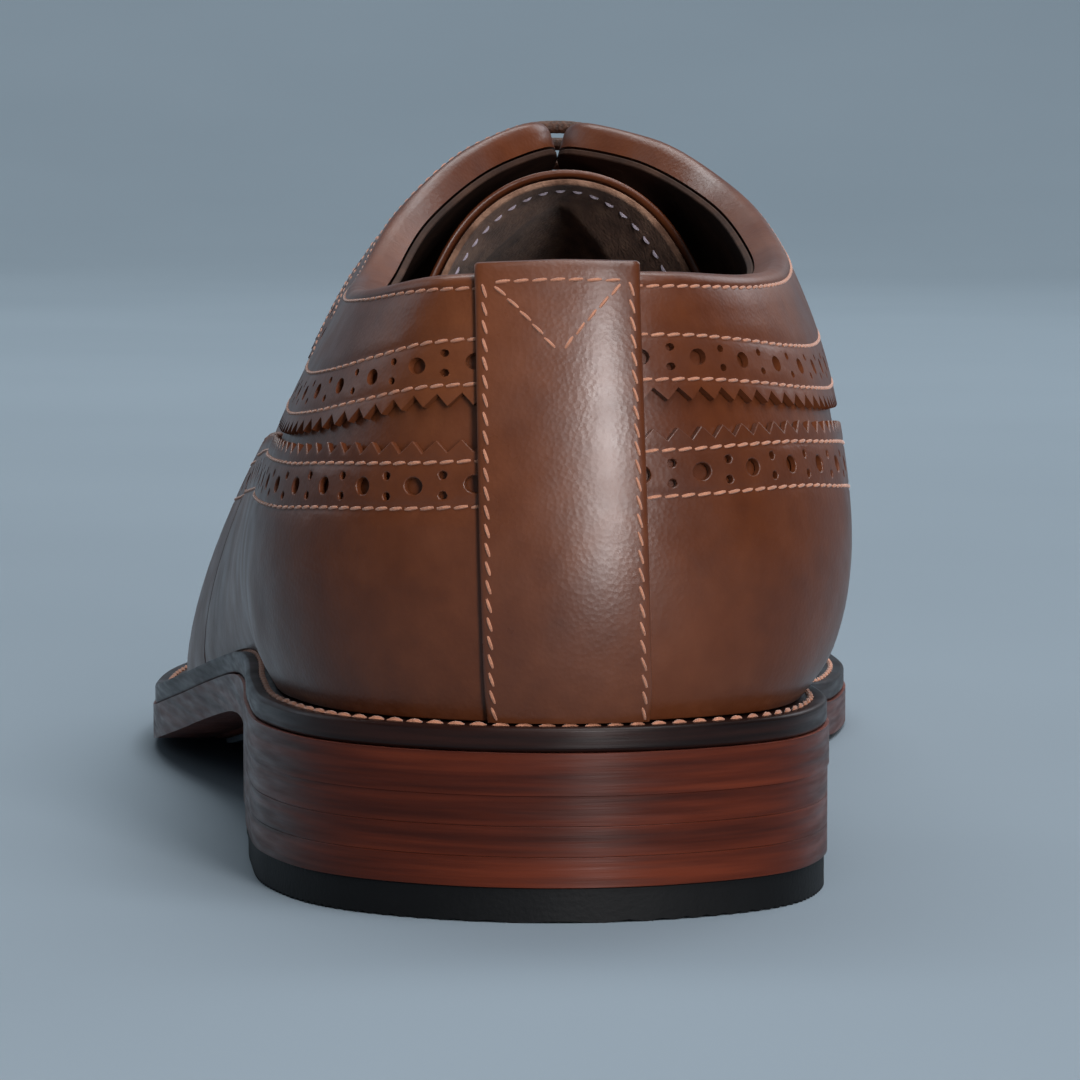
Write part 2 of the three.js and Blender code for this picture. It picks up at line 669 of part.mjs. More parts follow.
function makeStiffeners() {
  const board = finish(COLOUR.stiffener, 0.9);
  const topQ = (u) => lerp(COUNTER_BACK_Q, COUNTER_END_Q, Math.abs(u) / COUNTER_REACH);
  const counter = lastGrid((u, j) => [u, j * topQ(u)], LAYER.stiffener,
    spread(-COUNTER_REACH, COUNTER_REACH, 24), spread(0, 1, 5));
  addPiece('counter_stiffener', shell([counter]), board);
  addPiece('toe_puff', shell(toeGrids(TOE_PUFF_START, LAYER.stiffener, 7, 7)), board);
}

/** Thickness of the vamp: its folded rear edge stands above the facing beside it. */
function vampDepths(u, q) {
  const p = Math.abs(u);
  const [near, far] = LAYER.base;
  const aboveBand = smoothstep(q, 0.55, 0.7);
  const nearEdge = 1 - smoothstep(p - vampSeam(q), 0.0, 0.035);
  return [near, far + VAMP_EDGE_RISE * aboveBand * nearEdge];
}

function makeBaseUpper() {
  const leather = finish(COLOUR.upper, 0.42);
  const vamp = [1, -1].map((sign) => lastGrid(
    (i, q) => [sign * lerp(vampSeam(q) + VAMP_GAP, 1, i), q], vampDepths,
    inOrder([0, ...toeColumns(17).map((t) => lerp(0.05, 1, t))], sign), spread(0, 1, 9)));
  addPiece('vamp', shell(vamp), leather);
  for (const [name, sign] of SIDES) {
    const grid = lastGrid((i, q) => [sign * lerp(HALF_SEAM, vampSeam(q), i), q],
      LAYER.base, sideColumns(24), spread(0, 1, 6));
    addPiece(`quarter_${name}`, cut(shell([grid]), punchedHoles(sign)), leather);
  }
}

/** The wing cap: sides up to the band, the whole toe, and the peak that points to the throat. */
function wingGrids(sign) {
  const lobeQ = (bandQ(WING_LOBE, 1) + bandQ(WING_LOBE, -1)) / 2;
  const bandEdge = (p) => (p < WING_LOBE ? bandQ(p, sign) : lobeQ);
  const side = lastGrid(([p, top], j) => [sign * p, top * j], LAYER.overlay,
    inOrder(spread(WING_SEAM, WING_LOBE, 12).map((p) => [p, bandEdge(p)]), sign),
    spread(0, 1, 5));
  const columns = inOrder(spread(WING_LOBE, 1, 9), sign);
  const toeLow = lastGrid((p, j) => [sign * p, lobeQ * j], LAYER.overlay, columns,
    spread(0, 1, 5));
  const toeHigh = lastGrid((p, j) => [sign * p, lerp(lobeQ, 1, j)], LAYER.overlay, columns,
    spread(0, 1, 5));
  const peak = lastGrid(([p, low], j) => [sign * p, lerp(low, 1, j)], LAYER.overlay,
    inOrder(spread(0, 1, 4).map((t) => {
      const p = lerp(WING_PEAK, WING_LOBE, t);
      return [p, lerp(1, lobeQ, t ** 1.4)];
    }), sign), spread(0, 1, 5));
  return [side, toeLow, toeHigh, peak];
}

/** Place on the facing: its front edge follows the rear edge of the vamp. */
function facingPlace(i, j, sign) {
  let reach = VAMP_SEAM_HIGH;
  for (let k = 0; k < 4; k += 1) {
    reach = vampSeam(lerp(collarQ(reach, sign), 1, j)) - VAMP_GAP;
  }
  const p = lerp(HALF_SEAM, reach, i);
  return [sign * p, lerp(collarQ(p, sign), 1, j)];
}

/** Place on the back strip, which widens towards the narrower top of the heel. */
function stripPlace(across, q) {
  const halfWidth = BACK_STRIP_HALF * (1 + STRIP_FLARE * q ** STRIP_FLARE_POWER);
  return [(across * halfWidth - STRIP_LEAN * (1 - q)) / HALF_EDGE_LENGTH, q];
}

function makeOverlays() {
  const wing = finish(COLOUR.wing, 0.4);
  addPiece('wing_cap', shell([...wingGrids(1), ...wingGrids(-1)]), wing);
  for (const [name, sign] of SIDES) {
    const foxing = lastGrid(([p, top], j) => [sign * p, top * j], LAYER.overlay,
      sideColumns(14).map((t) => lerp(HALF_SEAM, WING_SEAM - 2 * HALF_SEAM, t))
        .map((p) => [p, bandQ(p, sign)]), spread(0, 1, 4));
    addPiece(`foxing_${name}`, shell([foxing]), wing);
    const facing = lastGrid((i, j) => facingPlace(i, j, sign), LAYER.overlay, sideColumns(20),
      spread(0, 1, 4));
    addPiece(`facing_${name}`, cut(shell([facing]), punchedHoles(sign)), finish(COLOUR.upper, 0.42));
  }
  const strip = lastGrid(stripPlace, LAYER.strip, spread(-1, 1, 4), spread(0, 1, 8));
  addPiece('back_strip', shell([strip]), finish(COLOUR.strip, 0.38));
}

// ---------------------------------------------------------------- tongue
const TONGUE_ROOT = 0.612;
const TONGUE_TURN = 0.455;
const TONGUE_TURN_AT = 0.75;
const TONGUE_SPREAD = 22;
// The free end is part of an ellipse: its middle, half axes and half angle, its distance from
// the heel, and how far its corners reach back beyond its middle.
const TONGUE_END = {
  x: -7.9, z: 67.9, halfWidth: 19.9, height: 21.2, turn: 1.35, s: 117.5, corner: -4,
};

/** Point of the arch at the tongue's free end, t from -1 to 1. */
function tongueEnd(t, distance) {
  const end = TONGUE_END;
  const angle = t * end.turn;
  const beyond = distance - LAYER.tongue[1];
  return new THREE.Vector3(
    end.x + (end.halfWidth + beyond) * Math.sin(angle),
    fromHeel(end.s + end.corner * t ** 4),
    end.z + (end.height + beyond) * Math.cos(angle));
}

/** One cross-strip of the tongue: v runs from the root (0) past the facings to its end (1). */
function tongueStrip(v, distance) {
  const p = lerp(TONGUE_ROOT, TONGUE_TURN, Math.min(v / TONGUE_TURN_AT, 1));
  const beyond = Math.max(v - TONGUE_TURN_AT, 0) / (1 - TONGUE_TURN_AT);
  const width = TONGUE_SPREAD * lerp(0.85, 1, smoothstep(v, 0, 0.6));
  return spread(-1, 1, 8).map((t) => {
    const u = p * (t < 0 ? -1 : 1);
    const q = qBelowTop(u, Math.abs(t) * width);
    return upperPoint(u, q, distance).lerp(tongueEnd(t, distance), beyond);
  });
}

function tongueShell([near, far]) {
  const rows = spread(0, 1, 12).map((v) => {
    const outer = tongueStrip(v, far);
    const inner = tongueStrip(v, near);
    return outer.map((point, k) => ({ outer: point, inner: inner[k] }));
  });
  return shell([rows]);
}

function makeTongue() {
  addPiece('tongue', tongueShell(LAYER.tongue), finish(COLOUR.upper, 0.45));
  addPiece('tongue_lining', tongueShell(LAYER.tongueLining), finish(COLOUR.suede, 0.95));
}

// ---------------------------------------------------------------- lacing
function makeEyelets() {
  const bore = EYELET_BORE / 2;
  const barrel = EYELET_BARREL / 2;
  const flange = EYELET_FLANGE / 2;
  const profile = [
    [bore, -1.7], [flange, -1.7], [flange, -1.3], [barrel, -1.3], [barrel, 4.9], [bore, 4.9],
    [bore, -1.7],
  ].map(([r, h]) => new THREE.Vector2(r, h));
  for (const [name, sign] of SIDES) {
    EYELET_ROWS.forEach((_, row) => {
      const { point, direction } = eyeletAxis(row, sign);
      const ring = mergeVertices(stripped(new THREE.LatheGeometry(profile, 8)), 1e-3);
      ring.applyQuaternion(new THREE.Quaternion()
        .setFromUnitVectors(new THREE.Vector3(0, 1, 0), direction));
      ring.translate(point.x, point.y, point.z);
      addPiece(`eyelet_${name}_${row + 1}`, ring, finish(COLOUR.brass, 0.35, 1));
    });
  }
}

/** Geometry with its position only, so that coincident vertices can be joined. */
function stripped(geometry) {
  geometry.deleteAttribute('normal');
  geometry.deleteAttribute('uv');
  return geometry;
}

// Distances of the lace's middle from the last, over the facings and inside the shoe.
const LACE_OUT = 6.6;
const LACE_IN = -2.75;

/** Place on the lace's way: an eyelet row, a side, a distance from the last and a shift. */
function lacePoint(row, sign, distance, inset = EYELET_INSET) {
  const rows = EYELET_ROWS;
  const low = clamp(Math.floor(row), 0, rows.length - 2);
  const p = lerp(rows[low], rows[low + 1], row - low);
  const u = p * sign;
  return upperPoint(u, qBelowTop(u, inset), distance);
}

/** Out of one eyelet, straight across the facings and into the eyelet opposite. */
function laceBar(row, fromSign) {
  const over = [
    [EYELET_INSET, LACE_IN + 0.4], [EYELET_INSET, 2.5], [EYELET_INSET, LACE_OUT - 0.9],
    [EYELET_INSET - 2, LACE_OUT], [5, LACE_OUT], [1.5, LACE_OUT],
  ];
  const rising = over.map(([inset, distance]) => lacePoint(row, fromSign, distance, inset));
  const falling = over.map(([inset, distance]) => lacePoint(row, -fromSign, distance, inset));
  return [...rising, ...falling.reverse()];
}

/** Inside run between two rows of one side, kept clear of the row it passes. */
function laceRun(fromRow, toRow, sign, shift) {
  const inset = EYELET_INSET + shift;
  return spread(0.22, 0.78, 3).map((t) =>
    lacePoint(lerp(fromRow, toRow, t), sign, LACE_IN, inset));
}

/** Loose end tucked down beside the tongue. */
const laceTail = (row, sign) => [[0.35, 1.5], [0.8, 4.5], [1.3, 8], [1.8, 10.5]].map(
  ([down, shift]) => lacePoint(row + down, sign, LACE_IN, EYELET_INSET + shift));

function makeLace() {
  const route = [
    ...laceTail(0, 1).reverse(),
    ...laceBar(0, 1), ...laceRun(0, 2, -1, 2.6),
    ...laceBar(2, -1), ...laceRun(2, 4, 1, 2.6),
    ...laceBar(4, 1), ...laceRun(4, 3, -1, -1.2),
    ...laceBar(3, -1), ...laceRun(3, 1, 1, -2.6),
    ...laceBar(1, 1), ...laceTail(1, -1),
  ];
  addPiece('lace', tube(route, LACE, 112, 8), finish(COLOUR.lace, 0.8));
  [[route[1], route[0]], [route.at(-2), route.at(-1)]].forEach(([before, end], i) => {
    const along = end.clone().sub(before).normalize();
    const start = end.clone().addScaledVector(along, GAP);
    const tip = start.clone().addScaledVector(along, AGLET_LENGTH);
    addPiece(`aglet_${i + 1}`, rod(start, tip, AGLET, 8), finish(COLOUR.aglet, 0.35));
  });
}

makeHeel();
makeSole();
makeLinings();
makeStiffeners();
makeBaseUpper();
makeOverlays();
makeTongue();
makeEyelets();
makeLace();

export default shoe;
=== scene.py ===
"""Looks of a man's left brogue oxford shoe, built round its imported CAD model.

Lengths are millimetres until a mesh is made. X points to the outer side, Y to the heel and Z up.
The upper lies on one surface, the last, where a place is (u, q): u runs from the back of the heel
(0) to the tip of the toe (1 on the outer side, -1 on the inner side), and q from the feather edge
(0) up to the topline, the lacing edge or the ridge of the foot (1).
"""
import math

import bpy
import numpy as np
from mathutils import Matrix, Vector
from mathutils.geometry import delaunay_2d_cdt
from mathutils.kdtree import KDTree


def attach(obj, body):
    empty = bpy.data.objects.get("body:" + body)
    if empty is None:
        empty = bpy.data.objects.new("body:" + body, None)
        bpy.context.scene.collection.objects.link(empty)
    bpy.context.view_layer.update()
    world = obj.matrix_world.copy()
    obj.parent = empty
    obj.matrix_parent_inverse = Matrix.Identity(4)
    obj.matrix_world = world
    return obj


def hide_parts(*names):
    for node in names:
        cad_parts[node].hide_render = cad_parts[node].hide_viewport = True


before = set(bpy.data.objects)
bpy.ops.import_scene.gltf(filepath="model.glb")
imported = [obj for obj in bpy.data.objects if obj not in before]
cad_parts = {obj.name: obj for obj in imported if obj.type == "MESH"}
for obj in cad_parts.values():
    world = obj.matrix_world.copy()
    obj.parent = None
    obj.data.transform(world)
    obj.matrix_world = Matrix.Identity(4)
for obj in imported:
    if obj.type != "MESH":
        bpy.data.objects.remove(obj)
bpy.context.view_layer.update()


# ---------------------------------------------------------------- driving dimensions
MM = 0.001
LENGTH = 305
GAP = 0.3

TOP_LIFT = 4.3
LEATHER_LIFTS = 3
LIFT_PITCH = 3.7
HEEL_RISE = TOP_LIFT + LEATHER_LIFTS * LIFT_PITCH
HEEL_LENGTH = 84
BREAST_BOW = 8
OUTSOLE = 5.2
WELT = 3.0
RUBBER_PROUD = 0.8
TREAD_START = 198
TREAD_END = 228
TOE_SPRING = 9.2


# Distances of each layer's two faces from the last.
LINING = (0.0, 0.9)
BASE = (2.55, 3.55)
OVERLAY = (4.45, 5.35)
STRIP = (5.8, 6.6)
TONGUE = (-5.1, -4.1)
TONGUE_LINING = (-6.4, -5.5)
VAMP_EDGE_RISE = 2.2

# Edge of the sole from above: (distance from the back of the heel, x), from the back of the
# heel along the outer side to the toe, and back along the inner side.
TOE_TIP_INDEX = 15
SOLE_EDGE = [
    (0, -5), (3.5, 10), (14, 23.5), (32, 31.5), (56, 34.5), (84, 36), (115, 40), (140, 45.5),
    (165, 51), (190, 53.4), (213, 52), (238, 45.8), (262, 36), (283, 22.5), (298, 6), (305, -11),
    (300.5, -29), (287, -40.5), (266, -47.5), (243, -51.5), (217, -53.4), (192, -50), (165, -42),
    (140, -35.5), (113, -32), (84, -34), (56, -37.8), (32, -39.2), (14, -33.3), (3.5, -19.8),
]

# Top of the last: (|u|, distance from the heel, outer height, inner height, outer x, inner x).
TOP_EDGE = [
    (0.00, 13.5, 76.5, 76.5, -5.0, -5.0),
    (0.07, 16.0, 75.9, 76.3, 6.0, -16.0),
    (0.14, 30.0, 73.3, 75.0, 13.0, -24.8),
    (0.22, 55.0, 72.2, 75.2, 15.8, -29.6),
    (0.30, 82.0, 74.3, 78.0, 14.4, -30.2),
    (0.36, 103.0, 80.8, 83.2, 10.2, -26.4),
    (0.41, 119.0, 87.0, 88.2, 2.2, -17.6),
    (0.45, 131.0, 89.9, 89.9, -6.4, -7.6),
    (0.50, 146.0, 86.0, 86.0, -6.1, -7.9),
    (0.55, 161.0, 80.1, 80.1, -6.2, -8.0),
    (0.60, 175.0, 73.5, 73.5, -6.6, -8.0),
    (0.63, 184.0, 69.3, 69.3, -7.5, -7.5),
    (0.70, 205.0, 60.0, 60.0, -7.8, -7.8),
    (0.77, 224.0, 52.8, 52.8, -8.2, -8.2),
    (0.84, 241.0, 47.2, 47.2, -8.5, -8.5),
    (0.91, 254.5, 43.8, 43.8, -8.9, -8.9),
    (1.00, 264.0, 41.8, 41.8, -9.2, -9.2),
]
THROAT = 0.63

# Fullness of the last: (|u|, inset from the sole edge, outer low bulge, inner low bulge,
# low rise, high bulge, high drop), the last four being the handles of a cubic curve.
FULLNESS = [
    (0.00, 8.8, 4.5, 4.5, 14, 6.5, 18),
    (0.08, 8.8, 6.0, 8.0, 14, 6.5, 18),
    (0.15, 8.8, 8.5, 11.5, 15, 8.5, 17),
    (0.24, 8.8, 8.5, 12.5, 15, 10.0, 18),
    (0.31, 7.9, 7.0, 11.5, 16, 10.5, 20),
    (0.37, 7.4, 5.0, 10.5, 17, 13.0, 16),
    (0.42, 7.6, 4.0, 9.5, 17, 17.0, 8),
    (0.46, 8.2, 3.0, 8.0, 17, 19.0, 3.5),
    (0.51, 9.2, 2.5, 6.0, 17, 20.5, 3),
    (0.57, 10.4, 2.0, 4.5, 17, 21.0, 3),
    (0.63, 10.7, 2.0, 3.5, 16, 21.5, 3),
    (0.70, 10.7, 2.0, 3.0, 15, 22.0, 2.5),
    (0.78, 10.7, 2.0, 2.5, 14, 22.0, 2.2),
    (0.86, 10.7, 1.8, 2.0, 13, 20.0, 1.8),
    (0.93, 10.7, 1.6, 1.6, 12, 18.5, 1.5),
    (1.00, 10.7, 1.5, 1.5, 12, 18.0, 1.5),
]

# Seams: (|u|, outer and inner height), and (|u|, outer and inner distance below the top).
BAND_TOP_HEIGHT = [
    (0.00, 56.9, 56.9), (0.05, 56.1, 57.4), (0.11, 54.5, 57.0), (0.15, 53.3, 56.2),
    (0.25, 52.0, 54.6), (0.35, 50.0, 51.6), (0.45, 46.5, 46.5), (0.58, 41.0, 41.0),
    (0.68, 37.5, 37.5), (0.76, 38.5, 38.5), (0.82, 45.0, 45.0), (1.00, 45.0, 45.0),
]
COLLAR_DEPTH = [
    (0.00, 15.3, 15.0), (0.06, 15.6, 15.2), (0.10, 17.2, 16.0), (0.16, 19.2, 17.5),
    (0.22, 19.6, 18.0), (0.29, 19.6, 18.6), (0.36, 21.0, 21.0), (0.41, 23.5, 24.0),
    (0.46, 26.0, 26.0), (0.62, 23.0, 23.0), (1.00, 23.0, 23.0),
]
WING_LOBE = 0.82
WING_PEAK = 0.735
WING_SEAM = 0.47
LOBE_POWER = 1.4
WING_SMOOTHING = 40
VAMP_SEAM_LOW = 0.49
VAMP_SEAM_HIGH = 0.62
VAMP_GAP = 0.002
VAMP_FOLD = 0.035
VAMP_FOLD_LINES = (0.008, 0.016, 0.026)
VAMP_FOLD_Q = (0.55, 0.7)
HALF_SEAM = 0.0006
BACK_STRIP_HALF = 10.8
STRIP_FLARE = 0.6
STRIP_LEAN = 1.5
SIDES = {"lateral": 1, "medial": -1}

# Steps of (u, q) over which slopes are taken, and millimetres of the plane in which panels are cut.
STEP = 0.002
WIDE_STEP = 0.004
PLANE_SCALE = (350.0, 80.0)
UP = np.array([0, 0, 1.0])
UPRIGHT_Q = 0.25  # below it the layers of the upper lean out level with the ground
AT_END = 0.999
AT_TOE = 0.9999
EDGE_SAMPLES = 6001
WELD = 500  # parts of a millimetre within which the corners of two faces are one
SHARP_ANGLE = math.radians(40)
ROUNDED_ANGLE = math.radians(50)
TOE_SPRING_POWER = 1.8

# Punched holes as (diameter, sides), toothed edges and stitch rows of the upper.
LARGE_HOLE = (2.0, 14)
SMALL_HOLE = (0.95, 8)
LACE_HOLE = (4.5, 20)
HOLE_PITCH = 8.0
HOLES_APART = 2.3
GIMP_PITCH = 3.3
GIMP_DEPTH = 1.5
BAND_ROWS = (1.85, 7.2)
BAND_HOLES = 4.55
COLLAR_ROWS = (1.7, 7.0)
COLLAR_HOLES = 4.35
TOPLINE_ROW = 2.3
FACING_ROW_END = 0.6
VAMP_ROWS = (0.005, 0.0115)
VAMP_ROW_PROUD = 0.1
STRIP_CLEAR = 0.022
ROW_CLEAR = 0.004
CREASE_PITCH = 1.6
FOOT_PITCH = 2.5
RIDGE_PITCH = 2
BACK_PITCH = 3
GROOVE_HALF = 0.55
GROOVE_DEPTH = 0.2
STITCH_PITCH = 2.2
STITCH_LENGTH = 2.2
STITCH_RADIUS = 0.22
STITCH_TAPER = 0.82
STITCH_BEND = 0.9
ROW_DISTANCE = OVERLAY[1] - GROOVE_DEPTH + 0.6 * STITCH_RADIUS

# Edges of the upper: the rolled top edge, the worn edges and the quarter's outer face.
ROLL = 1.9
ROLL_NEAR = 1.2
ROLL_EASE = 0.4
ROLL_LINES = (0.15, 0.5, 1.0, ROLL, ROLL + ROLL_EASE)
ROLL_LINES_END = 0.612
OVERLAY_ROUNDING = 0.14
QUARTER_FACE = 4.3
STRIP_ROW_INSET = 1.1
STRIP_TOP_ROW = 2.0
STRIP_V_DEPTH = 10.2
STRIP_V_HALF = 0.8
STRIP_CROWN = 0.3
STRIP_WORN = 0.04
STRIP_WEAR = 0.3
STRIP_ROW_END = 60
STRIP_FLARE_POWER = 2.4

# The tongue: |u| at its root and where it leaves the facings, and the arch of its free end.
TONGUE_ROOT = 0.612
TONGUE_TURN = 0.455
TONGUE_TURN_AT = 0.75
TONGUE_SPREAD = 22
TONGUE_SMOOTHING = 60
TONGUE_ROW = 55
TONGUE_ROW_START = 0.6
TONGUE_STITCH = (1.7, 0.28)
TONGUE_STITCH_PITCH = 2.4
TONGUE_END = {"x": -7.9, "z": 67.9, "half_width": 19.9, "height": 21.2, "turn": 1.35, "s": 117.5,
              "corner": -4}

# Ribs of the top lift, and the nails.
RIB_PITCH = 1.35
RIB_DEPTH = 0.35
RIB_START = 0.6
LIFT_INSET = 0.2
LIFT_GAP = 0.03
LIFT_ROUNDING = 0.05
TOP_LIFT_INSET = 0.6
TOP_LIFT_GAP = 0.12
# Places of the five heel nails: distance from the back of the heel, and x.
HEEL_NAILS = ((72, 30), (64, 31.5), (72, -27), (64, -31), (7, -5))
NAIL_RADIUS = 1.0
NAIL_HOLE_RADIUS = 1.15
NAIL_SUNK = 0.05
NAIL_DOME = 0.45
NAIL_TIP = 6.6
NAIL_TIP_RADIUS = 0.8
NAIL_TAPER = 1.2

# The welt's row, the stitch channel under the sole, and the rubber let into the forefoot.
WELT_WIDTH = 15.2
WELT_ROW_INSET = 2.4
WELT_ROUNDING = 0.5
WELT_GROOVE = 0.3
WELT_GROOVE_HALF = 0.6
WELT_STITCH = (2.5, 0.36)
WELT_STITCH_LEAN = 0.22
WELT_STITCH_PITCH = 3.0
CHANNEL_INSET = 8.6
CHANNEL_HALF = 0.55
CHANNEL_DEPTH = 0.45
CHANNEL_START = 0.3
CHANNEL_END = 0.9995
INSERT_START = 0.505
INSERT_INSET = 11
INSERT_DEPTH = 2
INSERT_BOW = 16
POCKET_WALL = 0.05
CELL = 3.9
CELL_FACE = 0.8
CELL_FOOT = 0.92
CELL_SLACK = 0.02
BAR_PITCH = 8.4
BAR_TURN = math.radians(23)
BAR_FOOT = 0.35
BAR_HALF = 0.65
TREAD_DEPTH = 0.55
TREAD_MARGIN = 1.6
TREAD_STRIP_HALF = 6.5

# Rows of eyelets as |u|, the radii of flange, barrel and bore, and the lace.
EYELET_ROWS = (0.484, 0.508, 0.532, 0.556, 0.580)
EYELET_INSET = 11
EYELET_RADII = (2.7, 1.95, 1.55)
EYELET_LOW = -1.7
EYELET_HIGH = 4.9
FLANGE = 0.4
LACE_RADIUS = 0.95
LACE_OUT = 6.6
LACE_IN = -2.75
LACE_RING_STEP = 0.45
SPLINE_STEPS = 24
LACE_SIDES = 24
PLAIT_PITCH = 2.2
PLAIT_DEPTH = 0.07

# The camera's place in metres from the back of the heel, and the direction it looks in.
CAMERA_BEHIND = 0.689
CAMERA_ASIDE = 0.0316
CAMERA_HEIGHT = 0.102
AIM = (2700, 115, 219)


# ---------------------------------------------------------------- curves and tables
def smoothstep(x, low, high):
    t = np.clip((x - low) / (high - low), 0, 1)
    return t * t * (3 - 2 * t)


def lerp(a, b, t):
    return a + (b - a) * t


def unit(v):
    return v / np.linalg.norm(v, axis=-1, keepdims=True)


def from_heel(distance):
    """The y at a distance from the back of the heel, and just as well the distance at a y."""
    return LENGTH / 2 - distance


def table_curve(rows):
    """Smooth function through rows of (key, value)."""
    keys, values = np.array(rows, float).T
    order = np.arange(len(keys))
    before = np.maximum(order - 1, 0)
    after = np.minimum(order + 1, len(keys) - 1)
    slopes = (values[after] - values[before]) / (keys[after] - keys[before])

    def at(key):
        k = np.clip(key, keys[0], keys[-1])
        i = np.clip(np.searchsorted(keys, k, side="right") - 1, 0, len(keys) - 2)
        width = keys[i + 1] - keys[i]
        t = (k - keys[i]) / width
        t2, t3 = t * t, t * t * t
        return ((2 * t3 - 3 * t2 + 1) * values[i] + (t3 - 2 * t2 + t) * width * slopes[i]
                + (3 * t2 - 2 * t3) * values[i + 1] + (t3 - t2) * width * slopes[i + 1])

    return at


def round_the_foot(rows, outer_column, inner_column):
    """The two-sided form of a table, wrapped at the ends."""
    outer = [(row[0], row[outer_column]) for row in rows]
    inner = [(-row[0], row[inner_column]) for row in rows][::-1]
    before = [(key - 2, value) for key, value in outer[-4:-1]]
    after = [(key + 2, value) for key, value in inner[1:4]]
    return table_curve(before + inner[:-1] + outer + after)


top_distance = round_the_foot(TOP_EDGE, 1, 1)
top_height = round_the_foot(TOP_EDGE, 2, 3)
top_x = round_the_foot(TOP_EDGE, 4, 5)
edge_inset = round_the_foot(FULLNESS, 1, 1)
low_bulge = round_the_foot(FULLNESS, 2, 3)
low_rise = round_the_foot(FULLNESS, 4, 4)
high_bulge = round_the_foot(FULLNESS, 5, 5)
high_drop = round_the_foot(FULLNESS, 6, 6)
collar_depth = round_the_foot(COLLAR_DEPTH, 1, 2)
band_top = round_the_foot(BAND_TOP_HEIGHT, 1, 2)


def spline(points, index):
    """Points of a closed centripetal Catmull-Rom curve at fractional point numbers."""
    first = np.floor(index).astype(int)
    t = (index - first)[:, None]
    p0, p1, p2, p3 = (points[(first + k) % len(points)] for k in (-1, 0, 1, 2))
    d0, d1, d2 = (np.sqrt(np.linalg.norm(b - a, axis=1))[:, None]
                  for a, b in ((p0, p1), (p1, p2), (p2, p3)))
    start = ((p1 - p0) / d0 - (p2 - p0) / (d0 + d1) + (p2 - p1) / d1) * d1
    end = ((p2 - p1) / d1 - (p3 - p1) / (d1 + d2) + (p3 - p2) / d2) * d1
    return (p1 + start * t + (3 * (p2 - p1) - 2 * start - end) * t ** 2
            + (2 * (p1 - p2) + start + end) * t ** 3)


def run_along(points):
    """Length of a line up to each of its points."""
    steps = np.linalg.norm(np.diff(points, axis=0), axis=1)
    return np.concatenate([[0], np.cumsum(steps)])


def points_at(lengths, run, line):
    """Points of a line at given lengths along it."""
    return np.stack([np.interp(lengths, run, column) for column in line.T], -1)


def half_edge(first, last):
    """One half of the sole edge: points and running lengths from the heel to the toe."""
    corners = np.array([(x, from_heel(s)) for s, x in SOLE_EDGE])
    points = spline(corners, np.linspace(first, last, EDGE_SAMPLES))
    return points, run_along(points)


HALVES = {1: half_edge(0, TOE_TIP_INDEX), -1: half_edge(len(SOLE_EDGE), TOE_TIP_INDEX)}
HALF_LENGTH = HALVES[1][1][-1]


def wrapped(u):
    return np.where(u > 1, u - 2, np.where(u < -1, u + 2, u))


def sole_edge(u):
    """Points (x, y) of the sole edge at u."""
    side = wrapped(np.asarray(u, float))
    outer, inner = (points_at(np.abs(side) * run[-1], run, points)
                    for points, run in (HALVES[1], HALVES[-1]))
    return np.where(side[..., None] < 0, inner, outer)


def outward(u):
    """Outward direction of the sole edge at u, level with the ground."""
    along = sole_edge(np.asarray(u) + WIDE_STEP) - sole_edge(np.asarray(u) - WIDE_STEP)
    return unit(np.stack([-along[..., 1], along[..., 0]], -1))


def sole_bottom(s):
    """Height of the underside of the outsole at a distance from the back of the heel."""
    spring = np.clip((s - TREAD_END) / (LENGTH - TREAD_END), 0, 1) ** TOE_SPRING_POWER
    return lerp(HEEL_RISE, RUBBER_PROUD, smoothstep(s, HEEL_LENGTH, TREAD_START)) + TOE_SPRING * spring


def sole_top(s):
    return sole_bottom(s) + OUTSOLE


def feather(s):
    """Height of the top of the welt, on which the upper stands."""
    return sole_top(s) + WELT


def raised(points, height):
    """Points (x, y) at a height."""
    height = np.broadcast_to(height, points.shape[:-1])
    return np.concatenate([points, height[..., None]], -1)


# ---------------------------------------------------------------- the last
def last_point(u, q):
    """Points of the last at (u, q)."""
    u, q = np.broadcast_arrays(np.asarray(u, float), np.asarray(q, float))
    side = wrapped(u)
    out = outward(side)
    flat = sole_edge(side) - out * edge_inset(side)[..., None]
    foot = raised(flat, feather(from_heel(flat[..., 1])) + GAP)
    mean_x = (top_x(side) + top_x(-side)) / 2
    x = np.where(np.abs(side) > THROAT, mean_x, top_x(side))
    top = np.stack([x, from_heel(top_distance(side)), top_height(side)], -1)
    out = raised(out, 0)
    low = foot + out * low_bulge(side)[..., None] + UP * low_rise(side)[..., None]
    high = top + out * high_bulge(side)[..., None] - UP * high_drop(side)[..., None]
    t = q[..., None]
    return ((1 - t) ** 3 * foot + 3 * (1 - t) ** 2 * t * low + 3 * (1 - t) * t ** 2 * high
            + t ** 3 * top)


def slope_along(u, q, step=STEP):
    """How a place on the last moves with u."""
    return (last_point(u + step, q) - last_point(u - step, q)) / (2 * step)


def slope_up(u, q, step=STEP):
    """How a place on the last moves with q."""
    return (last_point(u, q + step) - last_point(u, q - step)) / (2 * step)


def last_normal(u, q):
    q = np.minimum(q, 0.985)  # beside the ridge, where the last has a crease
    return -unit(np.cross(slope_along(u, q, WIDE_STEP), slope_up(u, q, WIDE_STEP)))


def on_ridge(u, q):
    """Whether a place lies on the ridge of the foot, where both sides meet."""
    return (q > AT_END) & (np.abs(u) > THROAT)


def stack_direction(u, q):
    """Direction in which the layers of the upper stack up."""
    normal = last_normal(u, q)
    both = np.where(on_ridge(u, q)[..., None], normal + last_normal(-u, q), normal)
    return unit(lerp(raised(outward(u), 0), unit(both), smoothstep(q, 0, UPRIGHT_Q)[..., None]))


